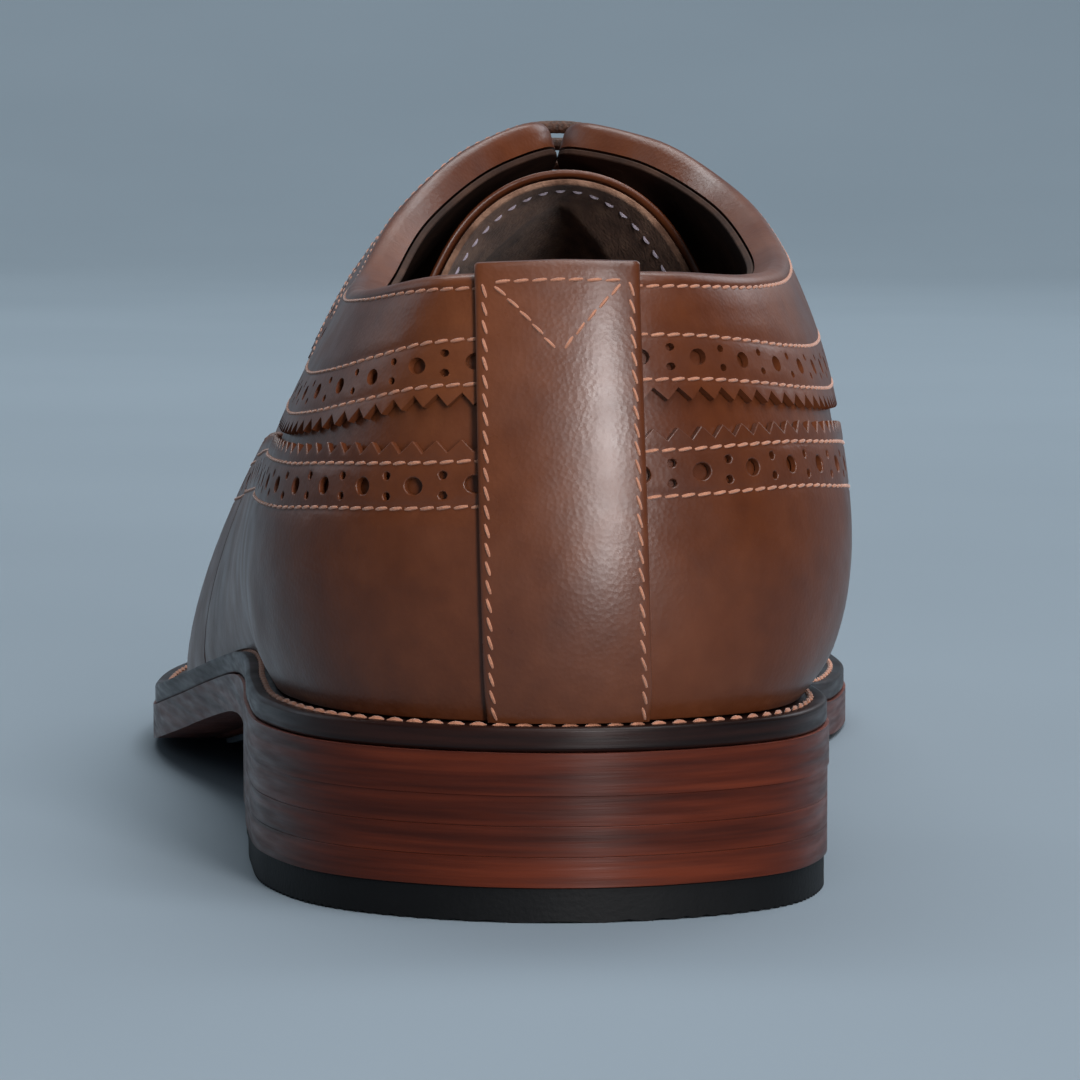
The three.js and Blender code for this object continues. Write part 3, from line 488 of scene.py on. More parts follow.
def upper_point(u, q, distance):
    """Points at a distance outside the last; lower edges of all layers stand on the welt."""
    u, q, distance = np.broadcast_arrays(np.asarray(u, float), np.asarray(q, float),
                                         np.asarray(distance, float))
    is_shared = (np.abs(u) > AT_TOE) | on_ridge(u, q)
    u = np.where(is_shared, np.abs(u), u)
    start = last_point(u, q)
    point = start + stack_direction(u, q) * distance[..., None]
    climb = feather(from_heel(point[..., 1])) - feather(from_heel(start[..., 1]))
    point[..., 2] += climb * (1 - smoothstep(q, 0, UPRIGHT_Q))
    return point


LEVELS = np.linspace(0, 1, 161)


def q_at_height(u, height):
    """The q at which each meridian u reaches a height."""
    u, height = np.broadcast_arrays(np.asarray(u, float), height)
    z = last_point(u.ravel()[:, None], LEVELS[None])[..., 2]
    found = [np.interp(h, row, LEVELS) for h, row in zip(height.ravel(), z)]
    return np.array(found).reshape(u.shape)


def q_below_top(u, distance):
    """The q at a distance down from the top edge along each meridian u."""
    u, distance = np.broadcast_arrays(np.asarray(u, float), distance)
    points = last_point(u.ravel()[:, None], LEVELS[None, ::-1])
    steps = np.linalg.norm(np.diff(points, axis=1), axis=2)
    down = np.concatenate([np.zeros((len(points), 1)), np.cumsum(steps, axis=1)], 1)
    found = [np.interp(d, row, LEVELS[::-1]) for d, row in zip(distance.ravel(), down)]
    return np.array(found).reshape(u.shape)


def rise(u, q):
    """Length of the meridian per unit of q at (u, q)."""
    return np.linalg.norm(slope_up(u, np.minimum(q, 1 - STEP)), axis=-1)


def shifted(line, distance):
    """A (u, q) line moved up its meridians by a distance."""
    u, q = line.T
    return np.stack([u, q + distance / rise(u, q)], -1)


def spaced(line, pitch, distance=OVERLAY[1]):
    """The (u, q) line with points an equal distance of about one pitch apart."""
    run = run_along(upper_point(*line.T, distance))
    count = max(int(round(run[-1] / pitch)), 1)
    return points_at(np.linspace(0, run[-1], count + 1), run, line)


# ---------------------------------------------------------------- mesh building
def tree_of(points):
    """Search tree of points with two or three coordinates."""
    tree = KDTree(len(points))
    for i, point in enumerate(points):
        tree.insert(Vector(point).to_3d(), i)
    tree.balance()
    return tree


def nearest(tree, points):
    """Number of the tree's nearest point for each of the points."""
    return [tree.find(Vector(point).to_3d())[1] for point in points]


def distances(tree, points):
    """Distance of each of the points from the tree's nearest point."""
    return np.array([tree.find(Vector(point).to_3d())[2] for point in points])


def is_inside(points, loops):
    """Even-odd test of points against the edges of all loops."""
    starts = np.vstack(loops)
    ends = np.vstack([np.roll(loop, -1, axis=0) for loop in loops])
    inside = np.zeros(len(points), bool)
    for chunk in np.array_split(np.arange(len(points)), max(len(points) // 2000, 1)):
        x, y = points[chunk, 0][:, None], points[chunk, 1][:, None]
        spans = (starts[:, 1] > y) != (ends[:, 1] > y)
        height = np.where(ends[:, 1] == starts[:, 1], 1, ends[:, 1] - starts[:, 1])
        crossing = starts[:, 0] + (y - starts[:, 1]) * (ends[:, 0] - starts[:, 0]) / height
        inside[chunk] = (spans & (x < crossing)).sum(1) % 2 == 1
    return inside


def triangulated(loops, creases, spacing, scale=(1.0, 1.0)):
    """Points and triangles inside the first loop and outside the others, with creases kept."""
    loops = [np.asarray(loop) * scale for loop in loops]
    lines = [np.asarray(line) * scale for line in creases]
    edges, count = [], 0
    for line, is_closed in [(loop, True) for loop in loops] + [(line, False) for line in lines]:
        ids = np.arange(count, count + len(line)).tolist()
        edges += list(zip(ids, ids[1:] + ids[:1]))[:None if is_closed else -1]
        count += len(line)
    fixed = np.vstack(loops + lines)
    low, high = loops[0].min(0), loops[0].max(0)
    x, y = np.meshgrid(np.arange(low[0], high[0], spacing), np.arange(low[1], high[1], spacing))
    grid = np.stack([x.ravel(), y.ravel()], -1)
    grid = grid[is_inside(grid, loops)]
    grid = grid[distances(tree_of(fixed), grid) > 0.55 * spacing]
    points = [Vector(p) for p in np.vstack([fixed, grid])]
    found, _, faces, *_ = delaunay_2d_cdt(points, edges, [], 0, 1e-5)
    found = np.array([tuple(p) for p in found])
    faces = np.array(faces)
    faces = faces[is_inside(found[faces].mean(1), loops)]
    return found / scale, faces


def new_object(name, vertices, faces, material, node=None, body="shoe"):
    """Mesh object in metres from points in millimetres. It rides on a body and replaces a node."""
    mesh = bpy.data.meshes.new(name)
    mesh.from_pydata((np.asarray(vertices) * MM).tolist(), [], [list(map(int, f)) for f in faces])
    mesh.validate()
    mesh.polygons.foreach_set("use_smooth", [True] * len(mesh.polygons))
    mesh.set_sharp_from_angle(angle=SHARP_ANGLE)
    mesh.materials.append(material)
    piece = bpy.data.objects.new(name, mesh)
    bpy.context.scene.collection.objects.link(piece)
    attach(piece, body)
    if node is not None:
        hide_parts(node)
    return piece


def rounded(piece, width, segments=2):
    """Rounds the sharp edges of a piece."""
    bevel = piece.modifiers.new("rounded", "BEVEL")
    bevel.width = width * MM
    bevel.segments = segments
    bevel.limit_method = "ANGLE"
    bevel.angle_limit = ROUNDED_ANGLE
    bevel.use_clamp_overlap = True


def coincident(vertices, precision):
    """The first of each set of coincident vertices, and the number of each vertex's set."""
    _, first, where = np.unique(np.round(vertices * precision).astype(np.int64), axis=0,
                                return_index=True, return_inverse=True)
    return first, where.ravel()


def closed_skin(outer, inner, faces):
    """Vertices and faces of the closed body between two skins that share their triangles."""
    first, where = coincident(outer, WELD)
    outer, inner = outer[first], inner[first]
    faces = [[int(where[i]) for i in face] for face in faces]
    faces = [face for face in faces if len(set(face)) == len(face)]
    used = dict.fromkeys((a, b) for face in faces for a, b in zip(face, face[1:] + face[:1]))
    count = len(outer)
    skins = faces + [[i + count for i in reversed(face)] for face in faces]
    walls = [[b, a, a + count, b + count] for a, b in used if (b, a) not in used]
    return outside_out(np.vstack([outer, inner]), skins + walls)


def outside_out(vertices, faces):
    """The closed body with its faces turned outwards, which makes its volume positive."""
    corners = np.array([(f[0], f[k], f[k + 1]) for f in faces for k in range(1, len(f) - 1)])
    a, b, c = (vertices[corners[:, k]] for k in range(3))
    if np.einsum("ij,ij->i", a, np.cross(b, c)).sum() < 0:
        faces = [face[::-1] for face in faces]
    return vertices, faces


def leather_panel(node, halves, depths, material, spacing=2.5, name=None):
    """Panel of the upper. Each half is (loops, creases) in (u, q); depths(u, q) are its faces."""
    places, triangles, count = [], [], 0
    for loops, creases in halves:
        found, faces = triangulated(loops, creases, spacing, PLANE_SCALE)
        places.append(found)
        side = int(np.sign(found[:, 0].mean()))
        triangles += (faces[:, ::side] + count).tolist()
        count += len(found)
    u, q = np.vstack(places).T
    near, far = depths(u, q)
    vertices, faces = closed_skin(upper_point(u, q, far), upper_point(u, q, near), triangles)
    return new_object(name or f"{node}_leather", vertices, faces, material, node)


def grid_faces(rows, columns, is_closed=False):
    """Faces of a grid of points, with its last column joined to its first if it is closed."""
    faces = []
    for i in range(rows - 1):
        for j in range(columns if is_closed else columns - 1):
            a, b = i * columns + j, i * columns + (j + 1) % columns
            faces.append([a, b, b + columns, a + columns])
    return faces


def tube_faces(rings, sides):
    """Faces of a tube of rings, closed at both ends."""
    ends = [list(range(sides))[::-1], [(rings - 1) * sides + k for k in range(sides)]]
    return grid_faces(rings, sides, True) + ends


def ring(middle, side, up, radius, sides):
    """Points round a middle. The radius is one number, or one for each of the points."""
    turn = 2 * math.pi * np.arange(sides)[:, None] / sides
    return middle + np.reshape(radius, (-1, 1)) * (np.cos(turn) * side + np.sin(turn) * up)


def revolved(name, node, outline, origin, axis, material, sides=32):
    """Body turned from a closed outline of (radius, height) points about an axis."""
    axis = unit(np.asarray(axis, float))
    across = unit(np.cross(axis, (0.3, 1.0, 0.2)))
    up = np.cross(axis, across)
    outline = outline + outline[:1]
    vertices = np.vstack([ring(np.asarray(origin) + height * axis, across, up, radius, sides)
                          for radius, height in outline])
    vertices, faces = merged(vertices, grid_faces(len(outline), sides, True))
    return new_object(name, *outside_out(vertices, faces), material, node)


def merged(vertices, faces):
    """Joins coincident vertices and drops the repeats in each face."""
    first, where = coincident(vertices, 2 * WELD)
    faces = [list(dict.fromkeys(int(where[i]) for i in face)) for face in faces]
    return vertices[first], [face for face in faces if len(face) > 2]


def stitches(name, rows, length, radius, material, body="shoe"):
    """A row of short thread loops. Each row is points, outward directions and a lean in radians."""
    rings, sides = 5, 6
    stitch = tube_faces(rings, sides)
    vertices, faces = [], []
    for points, normals, lean in rows:
        along = unit(np.gradient(points, axis=0))
        for point, normal, ahead in zip(points, normals, along):
            side = np.cross(normal, ahead)
            ahead = math.cos(lean) * ahead + math.sin(lean) * side
            side = np.cross(normal, ahead)
            faces += [[len(vertices) * sides + i for i in face] for face in stitch]
            for t in -1 + 2 * (np.arange(rings) + 0.5) / rings:
                thick = radius * math.sqrt(1 - t * t * STITCH_TAPER)
                middle = point + ahead * (t * length / 2) - normal * (STITCH_BEND * radius * t * t)
                vertices.append(ring(middle, side, normal, thick, sides))
    return new_object(name, np.vstack(vertices), faces, material, body=body)


def stitch_row(line, face, distance, lean=0.12):
    """Stitches along a (u, q) line on face(u, q), spaced out at a distance from the last."""
    places = spaced(line, STITCH_PITCH, distance)
    u, q = ((places[1:] + places[:-1]) / 2).T
    return upper_point(u, q, face(u, q)), stack_direction(u, q), lean


# ---------------------------------------------------------------- materials
class Surface:
    """Principled material with helpers for noise, ramps and bumps in object space."""

    def __init__(self, name, roughness=0.5, metallic=0.0, coat=0.0, coat_roughness=0.2, sheen=0.0,
                 specular=0.5):
        self.material = bpy.data.materials.new(name)
        self.material.use_nodes = True
        self.tree = self.material.node_tree
        self.shader = self.tree.nodes["Principled BSDF"]
        for socket, value in (("Roughness", roughness), ("Metallic", metallic),
                              ("Coat Weight", coat), ("Coat Roughness", coat_roughness),
                              ("Sheen Weight", sheen), ("Specular IOR Level", specular)):
            self.shader.inputs[socket].default_value = value
        self.place = self.add("ShaderNodeTexCoord").outputs["Object"]
        self.bumped = None

    def add(self, kind, links=(), **values):
        node = self.tree.nodes.new(kind)
        for key, value in values.items():
            if hasattr(node, key):
                setattr(node, key, value)
            else:
                node.inputs[key.replace("_", " ").title()].default_value = value
        for socket, source in links:
            self.tree.links.new(source, node.inputs[socket])
        return node

    def mapped(self, scale):
        node = self.add("ShaderNodeMapping", [("Vector", self.place)])
        node.inputs["Scale"].default_value = scale
        return node.outputs["Vector"]

    def noise(self, scale, detail=3.0, stretch=(1, 1, 1)):
        """Noise whose features are about one `scale` long, in millimetres."""
        node = self.add("ShaderNodeTexNoise", [("Vector", self.mapped(stretch))])
        node.inputs["Scale"].default_value = 1 / (scale * MM)
        node.inputs["Detail"].default_value = detail
        return node.outputs["Fac"]

    def cells(self, scale, feature="F1"):
        node = self.add("ShaderNodeTexVoronoi", [("Vector", self.place)], feature=feature)
        node.inputs["Scale"].default_value = 1 / (scale * MM)
        return node.outputs["Distance"]

    def ramp(self, source, stops):
        node = self.add("ShaderNodeValToRGB", [("Fac", source)])
        ramp = node.color_ramp
        while len(ramp.elements) < len(stops):
            ramp.elements.new(0.5)
        for element, (at, colour) in zip(ramp.elements, stops):
            element.position = at
            element.color = (*linear(colour), 1)
        return node.outputs["Color"]

    def mix(self, factor, first, second):
        node = self.add("ShaderNodeMix", data_type="RGBA")
        for socket, value in ((0, factor), (6, first), (7, second)):
            if isinstance(value, (int, float)):
                node.inputs[socket].default_value = value
            elif isinstance(value, tuple):
                node.inputs[socket].default_value = (*linear(value), 1)
            else:
                self.tree.links.new(value, node.inputs[socket])
        return node.outputs[2]

    def between(self, source, low, high, out_low=0.0, out_high=1.0):
        node = self.add("ShaderNodeMapRange", [("Value", source)])
        for socket, value in zip((1, 2, 3, 4), (low, high, out_low, out_high)):
            node.inputs[socket].default_value = value
        return node.outputs["Result"]

    def bump(self, source, depth):
        """Adds a bump whose full height is a depth in millimetres."""
        links = [("Height", source)]
        if self.bumped is not None:
            links.append(("Normal", self.bumped))
        node = self.add("ShaderNodeBump", links)
        node.inputs["Distance"].default_value = depth * MM
        node.inputs["Strength"].default_value = 1
        self.bumped = node.outputs["Normal"]
        self.tree.links.new(self.bumped, self.shader.inputs["Normal"])

    def colour(self, source):
        self.tree.links.new(source, self.shader.inputs["Base Color"])

    def roughness(self, source):
        self.tree.links.new(source, self.shader.inputs["Roughness"])


def linear(srgb):
    """Scene colour of an 8-bit screen colour."""
    return tuple(c / 255 / 12.92 if c <= 10 else ((c / 255 + 0.055) / 1.055) ** 2.4 for c in srgb)


def upper_leather(name, dark, middle, light, gloss=0.34, wax=0.12):
    """Smooth box calf: cloudy dye, fine pores, faint creases and a waxed shine."""
    s = Surface(name, coat=wax, coat_roughness=0.28, specular=0.32)
    clouds = s.noise(34, 4)
    mottle = s.mix(0.22, clouds, s.noise(3.2, 4))
    s.colour(s.ramp(mottle, [(0.30, dark), (0.5, middle), (0.68, light)]))
    s.roughness(s.between(s.noise(7, 4), 0.3, 0.7, gloss - 0.04, gloss + 0.1))
    s.bump(s.noise(14, 2), 0.1)
    s.bump(s.noise(1.5, 4), 0.03)
    s.bump(s.cells(0.6), 0.02)
    return s.material


def thread(name, colour, shade):
    s = Surface(name, roughness=0.75, sheen=0.3)
    s.colour(s.mix(s.noise(1.2, 2), shade, colour))
    s.bump(s.noise(0.35, 2), 0.12)
    return s.material


def lining_leather():
    s = Surface("lining_leather", roughness=0.8, specular=0.2)
    # Cloudy brown lining leather; the brown is set darker than the leather's own colour, as painted
    # shade for the inside of the shoe.
    s.colour(s.ramp(s.noise(7, 4), [(0.3, (40, 25, 18)), (0.55, (56, 36, 26)), (0.75, (70, 47, 35))]))
    s.bump(s.cells(0.8), 0.06)
    return s.material


def suede():
    s = Surface("suede", roughness=0.95, sheen=0.1, specular=0.15)
    streaks = s.noise(3.0, 5, (1, 0.45, 1))
    s.colour(s.ramp(streaks, [(0.3, (88, 63, 50)), (0.52, (124, 93, 76)), (0.72, (152, 119, 99))]))
    s.bump(s.noise(0.5, 4), 0.25)
    return s.material


def sole_leather():
    s = Surface("sole_leather", coat=0.15, coat_roughness=0.35)
    mottle = s.mix(0.45, s.noise(24, 4), s.noise(2.4, 4, (1, 0.3, 1)))
    s.colour(s.ramp(mottle, [(0.28, (70, 29, 20)), (0.5, (98, 44, 31)), (0.74, (128, 66, 48))]))
    s.roughness(s.between(s.noise(4, 4), 0.3, 0.7, 0.38, 0.58))
    s.bump(s.noise(0.9, 5), 0.14)
    return s.material


def stacked_leather(name, dark, light):
    """Edge of stacked leather, waxed and burnished along the layers."""
    s = Surface(name, coat=0.1, coat_roughness=0.26, specular=0.15)
    lines = s.noise(5.5, 4, (0.16, 0.16, 4.0))
    middle = tuple((a + b) // 2 for a, b in zip(dark, light))
    s.colour(s.ramp(lines, [(0.33, dark), (0.5, middle), (0.68, light)]))
    s.roughness(s.between(s.noise(3, 3, (0.3, 0.3, 3)), 0.3, 0.7, 0.3, 0.48))
    s.bump(s.noise(3.2, 4, (0.12, 0.12, 4.5)), 0.05)
    return s.material


def rubber(name, dark, light, rough=0.62):
    s = Surface(name, roughness=rough, specular=0.18)
    s.colour(s.mix(s.noise(6, 4), dark, light))
    s.bump(s.noise(0.6, 3), 0.05)
    return s.material


def metal(name, colour, shade, rough=0.3):
    s = Surface(name, metallic=1.0)
    s.colour(s.mix(s.noise(2, 3), shade, colour))
    s.roughness(s.between(s.noise(1.2, 3), 0.3, 0.7, rough - 0.08, rough + 0.12))
    return s.material


def grainy(name, dark, light, size, depth, rough=0.9):
    s = Surface(name, roughness=rough)
    s.colour(s.ramp(s.mix(0.5, s.cells(size), s.noise(size * 2, 4)), [(0.2, dark), (0.7, light)]))
    s.bump(s.cells(size), depth)
    return s.material


UPPER = upper_leather("upper_leather", (66, 30, 14), (87, 44, 22), (103, 57, 32))
WING = upper_leather("wing_leather", (62, 28, 13), (82, 41, 20), (98, 53, 30))
STRIP_LEATHER = upper_leather("strip_leather", (64, 30, 15), (84, 43, 22), (101, 56, 33), 0.28, 0.32)
THREAD = thread("thread", (186, 126, 96), (132, 82, 58))
PALE_THREAD = thread("pale_thread", (196, 186, 200), (150, 138, 150))
# The lining's colour is partly its own brown and partly painted shade for the inside of the shoe.
SHADE_DARKENED_LINING = lining_leather()
SUEDE = suede()
SOLE_LEATHER = sole_leather()
HEEL_LEATHER = stacked_leather("heel_leather", (52, 18, 8), (90, 37, 19))
WELT_LEATHER = stacked_leather("welt_leather", (16, 8, 7), (40, 20, 15))
HEEL_RUBBER = rubber("heel_rubber", (6, 6, 7), (14, 15, 16), 0.6)
TREAD_RUBBER = rubber("tread_rubber", (42, 52, 60), (70, 84, 95), 0.5)
NAIL_BRASS = metal("nail_brass", (232, 178, 136), (190, 128, 90), 0.28)
EYELET_BRASS = metal("eyelet_brass", (120, 86, 58), (84, 58, 40), 0.38)
LACE_COTTON = grainy("lace_cotton", (38, 20, 12), (82, 50, 32), 0.55, 0.16, 0.7)
AGLET = rubber("aglet_plastic", (60, 34, 20), (84, 52, 34), 0.3)
CORK = grainy("cork", (112, 74, 42), (190, 142, 92), 2.2, 0.3)
CANVAS = grainy("canvas", (150, 136, 110), (206, 194, 166), 0.7, 0.12)
BOARD = grainy("stiffener_board", (120, 100, 76), (176, 154, 122), 1.1, 0.08)
STEEL = metal("shank_steel", (150, 152, 156), (112, 114, 120), 0.35)
INSOLE_LEATHER = grainy("insole_leather", (110, 82, 54), (168, 132, 94), 1.3, 0.06, 0.75)
SOCK_LEATHER = upper_leather("sock_leather", (38, 28, 22), (54, 41, 33), (70, 54, 44), 0.6)


# ---------------------------------------------------------------- lines on the upper
def band_q(u):
    return q_at_height(u, band_top(u))


def collar_q(u):
    return q_below_top(u, collar_depth(u))


def side_line(sign, start, end, q_of, count=240):
    """Line (u, q) along one side of the foot, between two values of |u|."""
    u = sign * np.linspace(start, end, count)
    return np.stack([u, q_of(u)], -1)


def band_line(sign, start, end, below=0.0, count=240):
    """Line along the top of the band round the foot, a distance below its edge."""
    return shifted(side_line(sign, start, end, band_q, count), -below)


def collar_line(sign, start, end, above=0.0):
    """Line along the lower edge of the collar, a distance above it."""
    return shifted(side_line(sign, start, end, collar_q), above)


def topline(sign, start, end, below):
    """Line along the top edge, a distance below it."""
    return side_line(sign, start, end, lambda u: q_below_top(u, below))


def straight(start, end, pitch):
    """Points of a straight (u, q) line, about one pitch apart."""
    return spaced(np.linspace(start, end, 24), pitch)


def joined(*lines):
    """Lines end to end, without their shared corners."""
    return np.vstack([line[:-1] for line in lines])


def directions(u, q):
    """Slopes along and up the last at (u, q), and the square unit directions that span them."""
    along = slope_along(u, q)
    up = slope_up(u, np.clip(q, STEP, 1 - STEP))
    first = unit(along)
    return along, up, first, unit(up - first * (up * first).sum(-1)[..., None])


def moved(u, q, x, y):
    """Places (u, q) moved over the last by millimetres along it and up it."""
    along, up, first, second = directions(u, q)
    dq = y / (up * second).sum(-1)
    du = (x - dq * (up * first).sum(-1)) / np.linalg.norm(along, axis=-1)
    return np.stack([u + du, q + dq], -1)


def offset_line(line, distance):
    """A (u, q) line moved sideways over the last, to its left as seen from outside."""
    u, q = line.T
    ahead = unit(np.gradient(last_point(u, q), axis=0))
    left = unit(np.cross(last_normal(u, q), ahead)) * distance
    _, _, first, second = directions(u, q)
    found = moved(u, q, (left * first).sum(1), (left * second).sum(1))
    return found[(found[:, 1] > 0) & (found[:, 1] <= 1) & (np.abs(found[:, 0]) < 1)]


def gimped(line):
    """The line cut to teeth that stand half above it and half below."""
    teeth = spaced(line, GIMP_PITCH / 2)
    lift = np.where(np.arange(len(teeth)) % 2 == 1, GIMP_DEPTH / 2, -GIMP_DEPTH / 2)
    lift[[0, -1]] = 0
    return shifted(teeth, lift)


def toothed(line, sign):
    """The line cut to teeth on its upper side, whichever way it runs."""
    teeth = spaced(line, GIMP_PITCH / 2)
    tips = offset_line(teeth, GIMP_DEPTH * sign)
    tree = tree_of(tips * PLANE_SCALE)
    teeth[1:-1:2] = tips[nearest(tree, teeth[1:-1:2] * PLANE_SCALE)]
    return teeth


def punched(place, diameter, sides, up=0.0):
    """Round hole in (u, q), shifted by millimetres up the foot."""
    turn = 2 * np.pi * np.arange(sides) / sides
    return moved(*place, diameter / 2 * np.cos(turn), diameter / 2 * np.sin(turn) + up)


def brogue_holes(line):
    """Large punched holes with stacked pairs of small ones between them."""
    holes = []
    for i, place in enumerate(spaced(line, HOLE_PITCH / 2)[1:-1]):
        if i % 2 == 0:
            holes.append(punched(place, *LARGE_HOLE))
        else:
            holes += [punched(place, *SMALL_HOLE, up) for up in (HOLES_APART / 2, -HOLES_APART / 2)]
    return holes


def eyelet_holes(sign):
    u = sign * np.array(EYELET_ROWS)
    return [punched(place, *LACE_HOLE) for place in zip(u, q_below_top(u, EYELET_INSET))]


def groove_creases(rows):
    """Lines along the middle and the sides of the groove of each stitch row."""
    return [shifted(spaced(row, CREASE_PITCH), offset)
            for row in rows for offset in (-GROOVE_HALF, 0, GROOVE_HALF)]


def groove_depth(rows, u, q):
    """How far the face sinks at (u, q) beside the stitch rows."""
    dense = np.vstack([spaced(row, 0.4) for row in rows])
    tree = tree_of(upper_point(*dense.T, OVERLAY[1]))
    away = distances(tree, upper_point(u, q, OVERLAY[1]))
    return GROOVE_DEPTH * np.clip(1 - away / GROOVE_HALF, 0, 1)


# ---------------------------------------------------------------- the upper
def vamp_seam(q):
    return lerp(VAMP_SEAM_LOW, VAMP_SEAM_HIGH, q)


def facing_front(sign):
    """The lower front corner of the facing: where the collar's edge meets the vamp."""
    p = VAMP_SEAM_HIGH
    for _ in range(6):
        p = float(vamp_seam(collar_q(p * sign))) - VAMP_GAP
    return p, float(collar_q(p * sign))


def layer(near, far):
    """Faces of a panel of even thickness."""
    return lambda u, q: (near, far)


def rolled_depths(rows):
    """Faces of the facing: its top edge rolls over the quarter, and it sinks at stitch rows."""
    def depths(u, q):
        below = (1 - q) * rise(u, q)
        drop = ROLL - np.sqrt(np.clip(ROLL ** 2 - np.clip(ROLL - below, 0, ROLL) ** 2, 0, None))
        near = lerp(ROLL_NEAR, OVERLAY[0], smoothstep(below, ROLL, ROLL + ROLL_EASE))
        return near, OVERLAY[1] - drop - groove_depth(rows, u, q)
    return depths


def banded_depths(rows):
    """Faces of an overlay that sinks at its stitch rows."""
    return lambda u, q: (OVERLAY[0], OVERLAY[1] - groove_depth(rows, u, q))


def sewn_panel(node, halves, rows, depths, material):
    """Overlay of the upper with worn edges. Gives back its stitch rows."""
    piece = leather_panel(node, halves, depths(rows), material)
    rounded(piece, OVERLAY_ROUNDING)
    return [stitch_row(row, lambda u, q: ROW_DISTANCE, ROW_DISTANCE) for row in rows]


def make_facing(name, sign):
    p_front, q_front = facing_front(sign)
    start = sign * HALF_SEAM
    lower = gimped(collar_line(sign, HALF_SEAM, p_front))
    front_q = np.linspace(q_front, 1, 30)
    front = spaced(np.stack([sign * (vamp_seam(front_q) - VAMP_GAP), front_q], -1), 2)
    top = straight((sign * (VAMP_SEAM_HIGH - VAMP_GAP), 1), (start, 1), CREASE_PITCH)
    back = straight((start, 1), (start, lower[0, 1]), BACK_PITCH)
    rows = [topline(sign, STRIP_CLEAR, FACING_ROW_END, TOPLINE_ROW)]
    rows += [collar_line(sign, STRIP_CLEAR, p_front - ROW_CLEAR, above) for above in COLLAR_ROWS]
    band = collar_line(sign, STRIP_CLEAR + ROW_CLEAR, p_front - 3 * ROW_CLEAR, COLLAR_HOLES)
    loops = [joined(lower, front, top, back), *brogue_holes(band), *eyelet_holes(sign)]
    creases = groove_creases(rows)
    creases += [spaced(topline(sign, ROW_CLEAR, ROLL_LINES_END, below), CREASE_PITCH)
                for below in ROLL_LINES]
    return sewn_panel(f"facing_{name}", [(loops, creases)], rows, rolled_depths, UPPER)


def make_foxing(name, sign):
    start, end = sign * HALF_SEAM, sign * (WING_SEAM - 2 * HALF_SEAM)
    upper_edge = gimped(band_line(sign, HALF_SEAM, abs(end)))
    foot = straight((end, 0), (start, 0), FOOT_PITCH)
    back = straight((start, 0), tuple(upper_edge[0]), BACK_PITCH)
    front = straight(tuple(upper_edge[-1]), (end, 0), BACK_PITCH)
    rows = [band_line(sign, STRIP_CLEAR, WING_SEAM - ROW_CLEAR, below) for below in BAND_ROWS]
    band = band_line(sign, STRIP_CLEAR, WING_SEAM - 2 * ROW_CLEAR, BAND_HOLES)
    loops = [joined(upper_edge, front, foot, back), *brogue_holes(band)]
    return sewn_panel(f"foxing_{name}", [(loops, groove_creases(rows))], rows, banded_depths, WING)


def wing_edge(sign):
    """Top edge of the wing cap from its rear seam, past the lobe and up to the peak."""
    lobe_q = float(band_q(np.array([WING_LOBE, -WING_LOBE])).mean())
    side = band_line(sign, WING_SEAM, WING_LOBE - ROW_CLEAR, count=60)
    side[:, 0] *= sign
    t = np.linspace(1, 0, 30)
    peak = np.stack([lerp(WING_PEAK, WING_LOBE, t), lerp(1, lobe_q, t ** LOBE_POWER)], -1)
    line = np.vstack([side, peak])
    for _ in range(WING_SMOOTHING):
        line[1:-1] = (line[:-2] + 2 * line[1:-1] + line[2:]) / 4
    line[:, 0] *= sign
    return line


def make_wing_cap():
    halves, every_row = [], []
    for sign in SIDES.values():
        edge = wing_edge(sign)
        teeth = toothed(edge, -sign)
        ridge = straight((sign * WING_PEAK, 1), (sign, 1), RIDGE_PITCH)
        toe = straight((sign, 1), (sign, 0), RIDGE_PITCH)
        foot = straight((sign, 0), (sign * WING_SEAM, 0), FOOT_PITCH)
        rear = straight((sign * WING_SEAM, 0), tuple(edge[0]), BACK_PITCH)
        even = spaced(edge, 1.5)
        rows = [offset_line(even, below * sign) for below in BAND_ROWS]
        band = offset_line(even, BAND_HOLES * sign)
        loops = [joined(teeth, ridge, toe, foot, rear), *brogue_holes(band)]
        halves.append((loops, groove_creases(rows)))
        every_row += rows
    return sewn_panel("wing_cap", halves, every_row, banded_depths, WING)


def vamp_depths(u, q):
    """Faces of the vamp, whose folded rear edge climbs over the facings."""
    above_band = smoothstep(q, *VAMP_FOLD_Q)
    near_edge = 1 - smoothstep(np.abs(u) - vamp_seam(q), 0.0, VAMP_FOLD)
    return BASE[0], BASE[1] + VAMP_EDGE_RISE * above_band * near_edge


def vamp_row_distance(u, q):
    return vamp_depths(u, q)[1] + VAMP_ROW_PROUD


def make_vamp():
    halves, rows = [], []
    for sign in SIDES.values():
        q = np.linspace(0, 1, 50)
        rear = np.stack([sign * (vamp_seam(q) + VAMP_GAP), q], -1)
        ridge = straight((rear[-1, 0], 1), (sign, 1), RIDGE_PITCH)
        toe = straight((sign, 1), (sign, 0), RIDGE_PITCH)
        foot = straight((sign, 0), (rear[0, 0], 0), FOOT_PITCH)
        creases = [spaced(rear + [sign * ahead, 0], RIDGE_PITCH) for ahead in VAMP_FOLD_LINES]
        halves.append(([joined(spaced(rear, 2), ridge, toe, foot)], creases))
        q = np.linspace(0.62, 0.985, 60)
        lines = [np.stack([sign * (vamp_seam(q) + VAMP_GAP + ahead), q], -1) for ahead in VAMP_ROWS]
        rows += [stitch_row(line, vamp_row_distance, OVERLAY[1]) for line in lines]
    piece = leather_panel("vamp", halves, vamp_depths, UPPER)
    rounded(piece, 0.3, 3)
    return rows


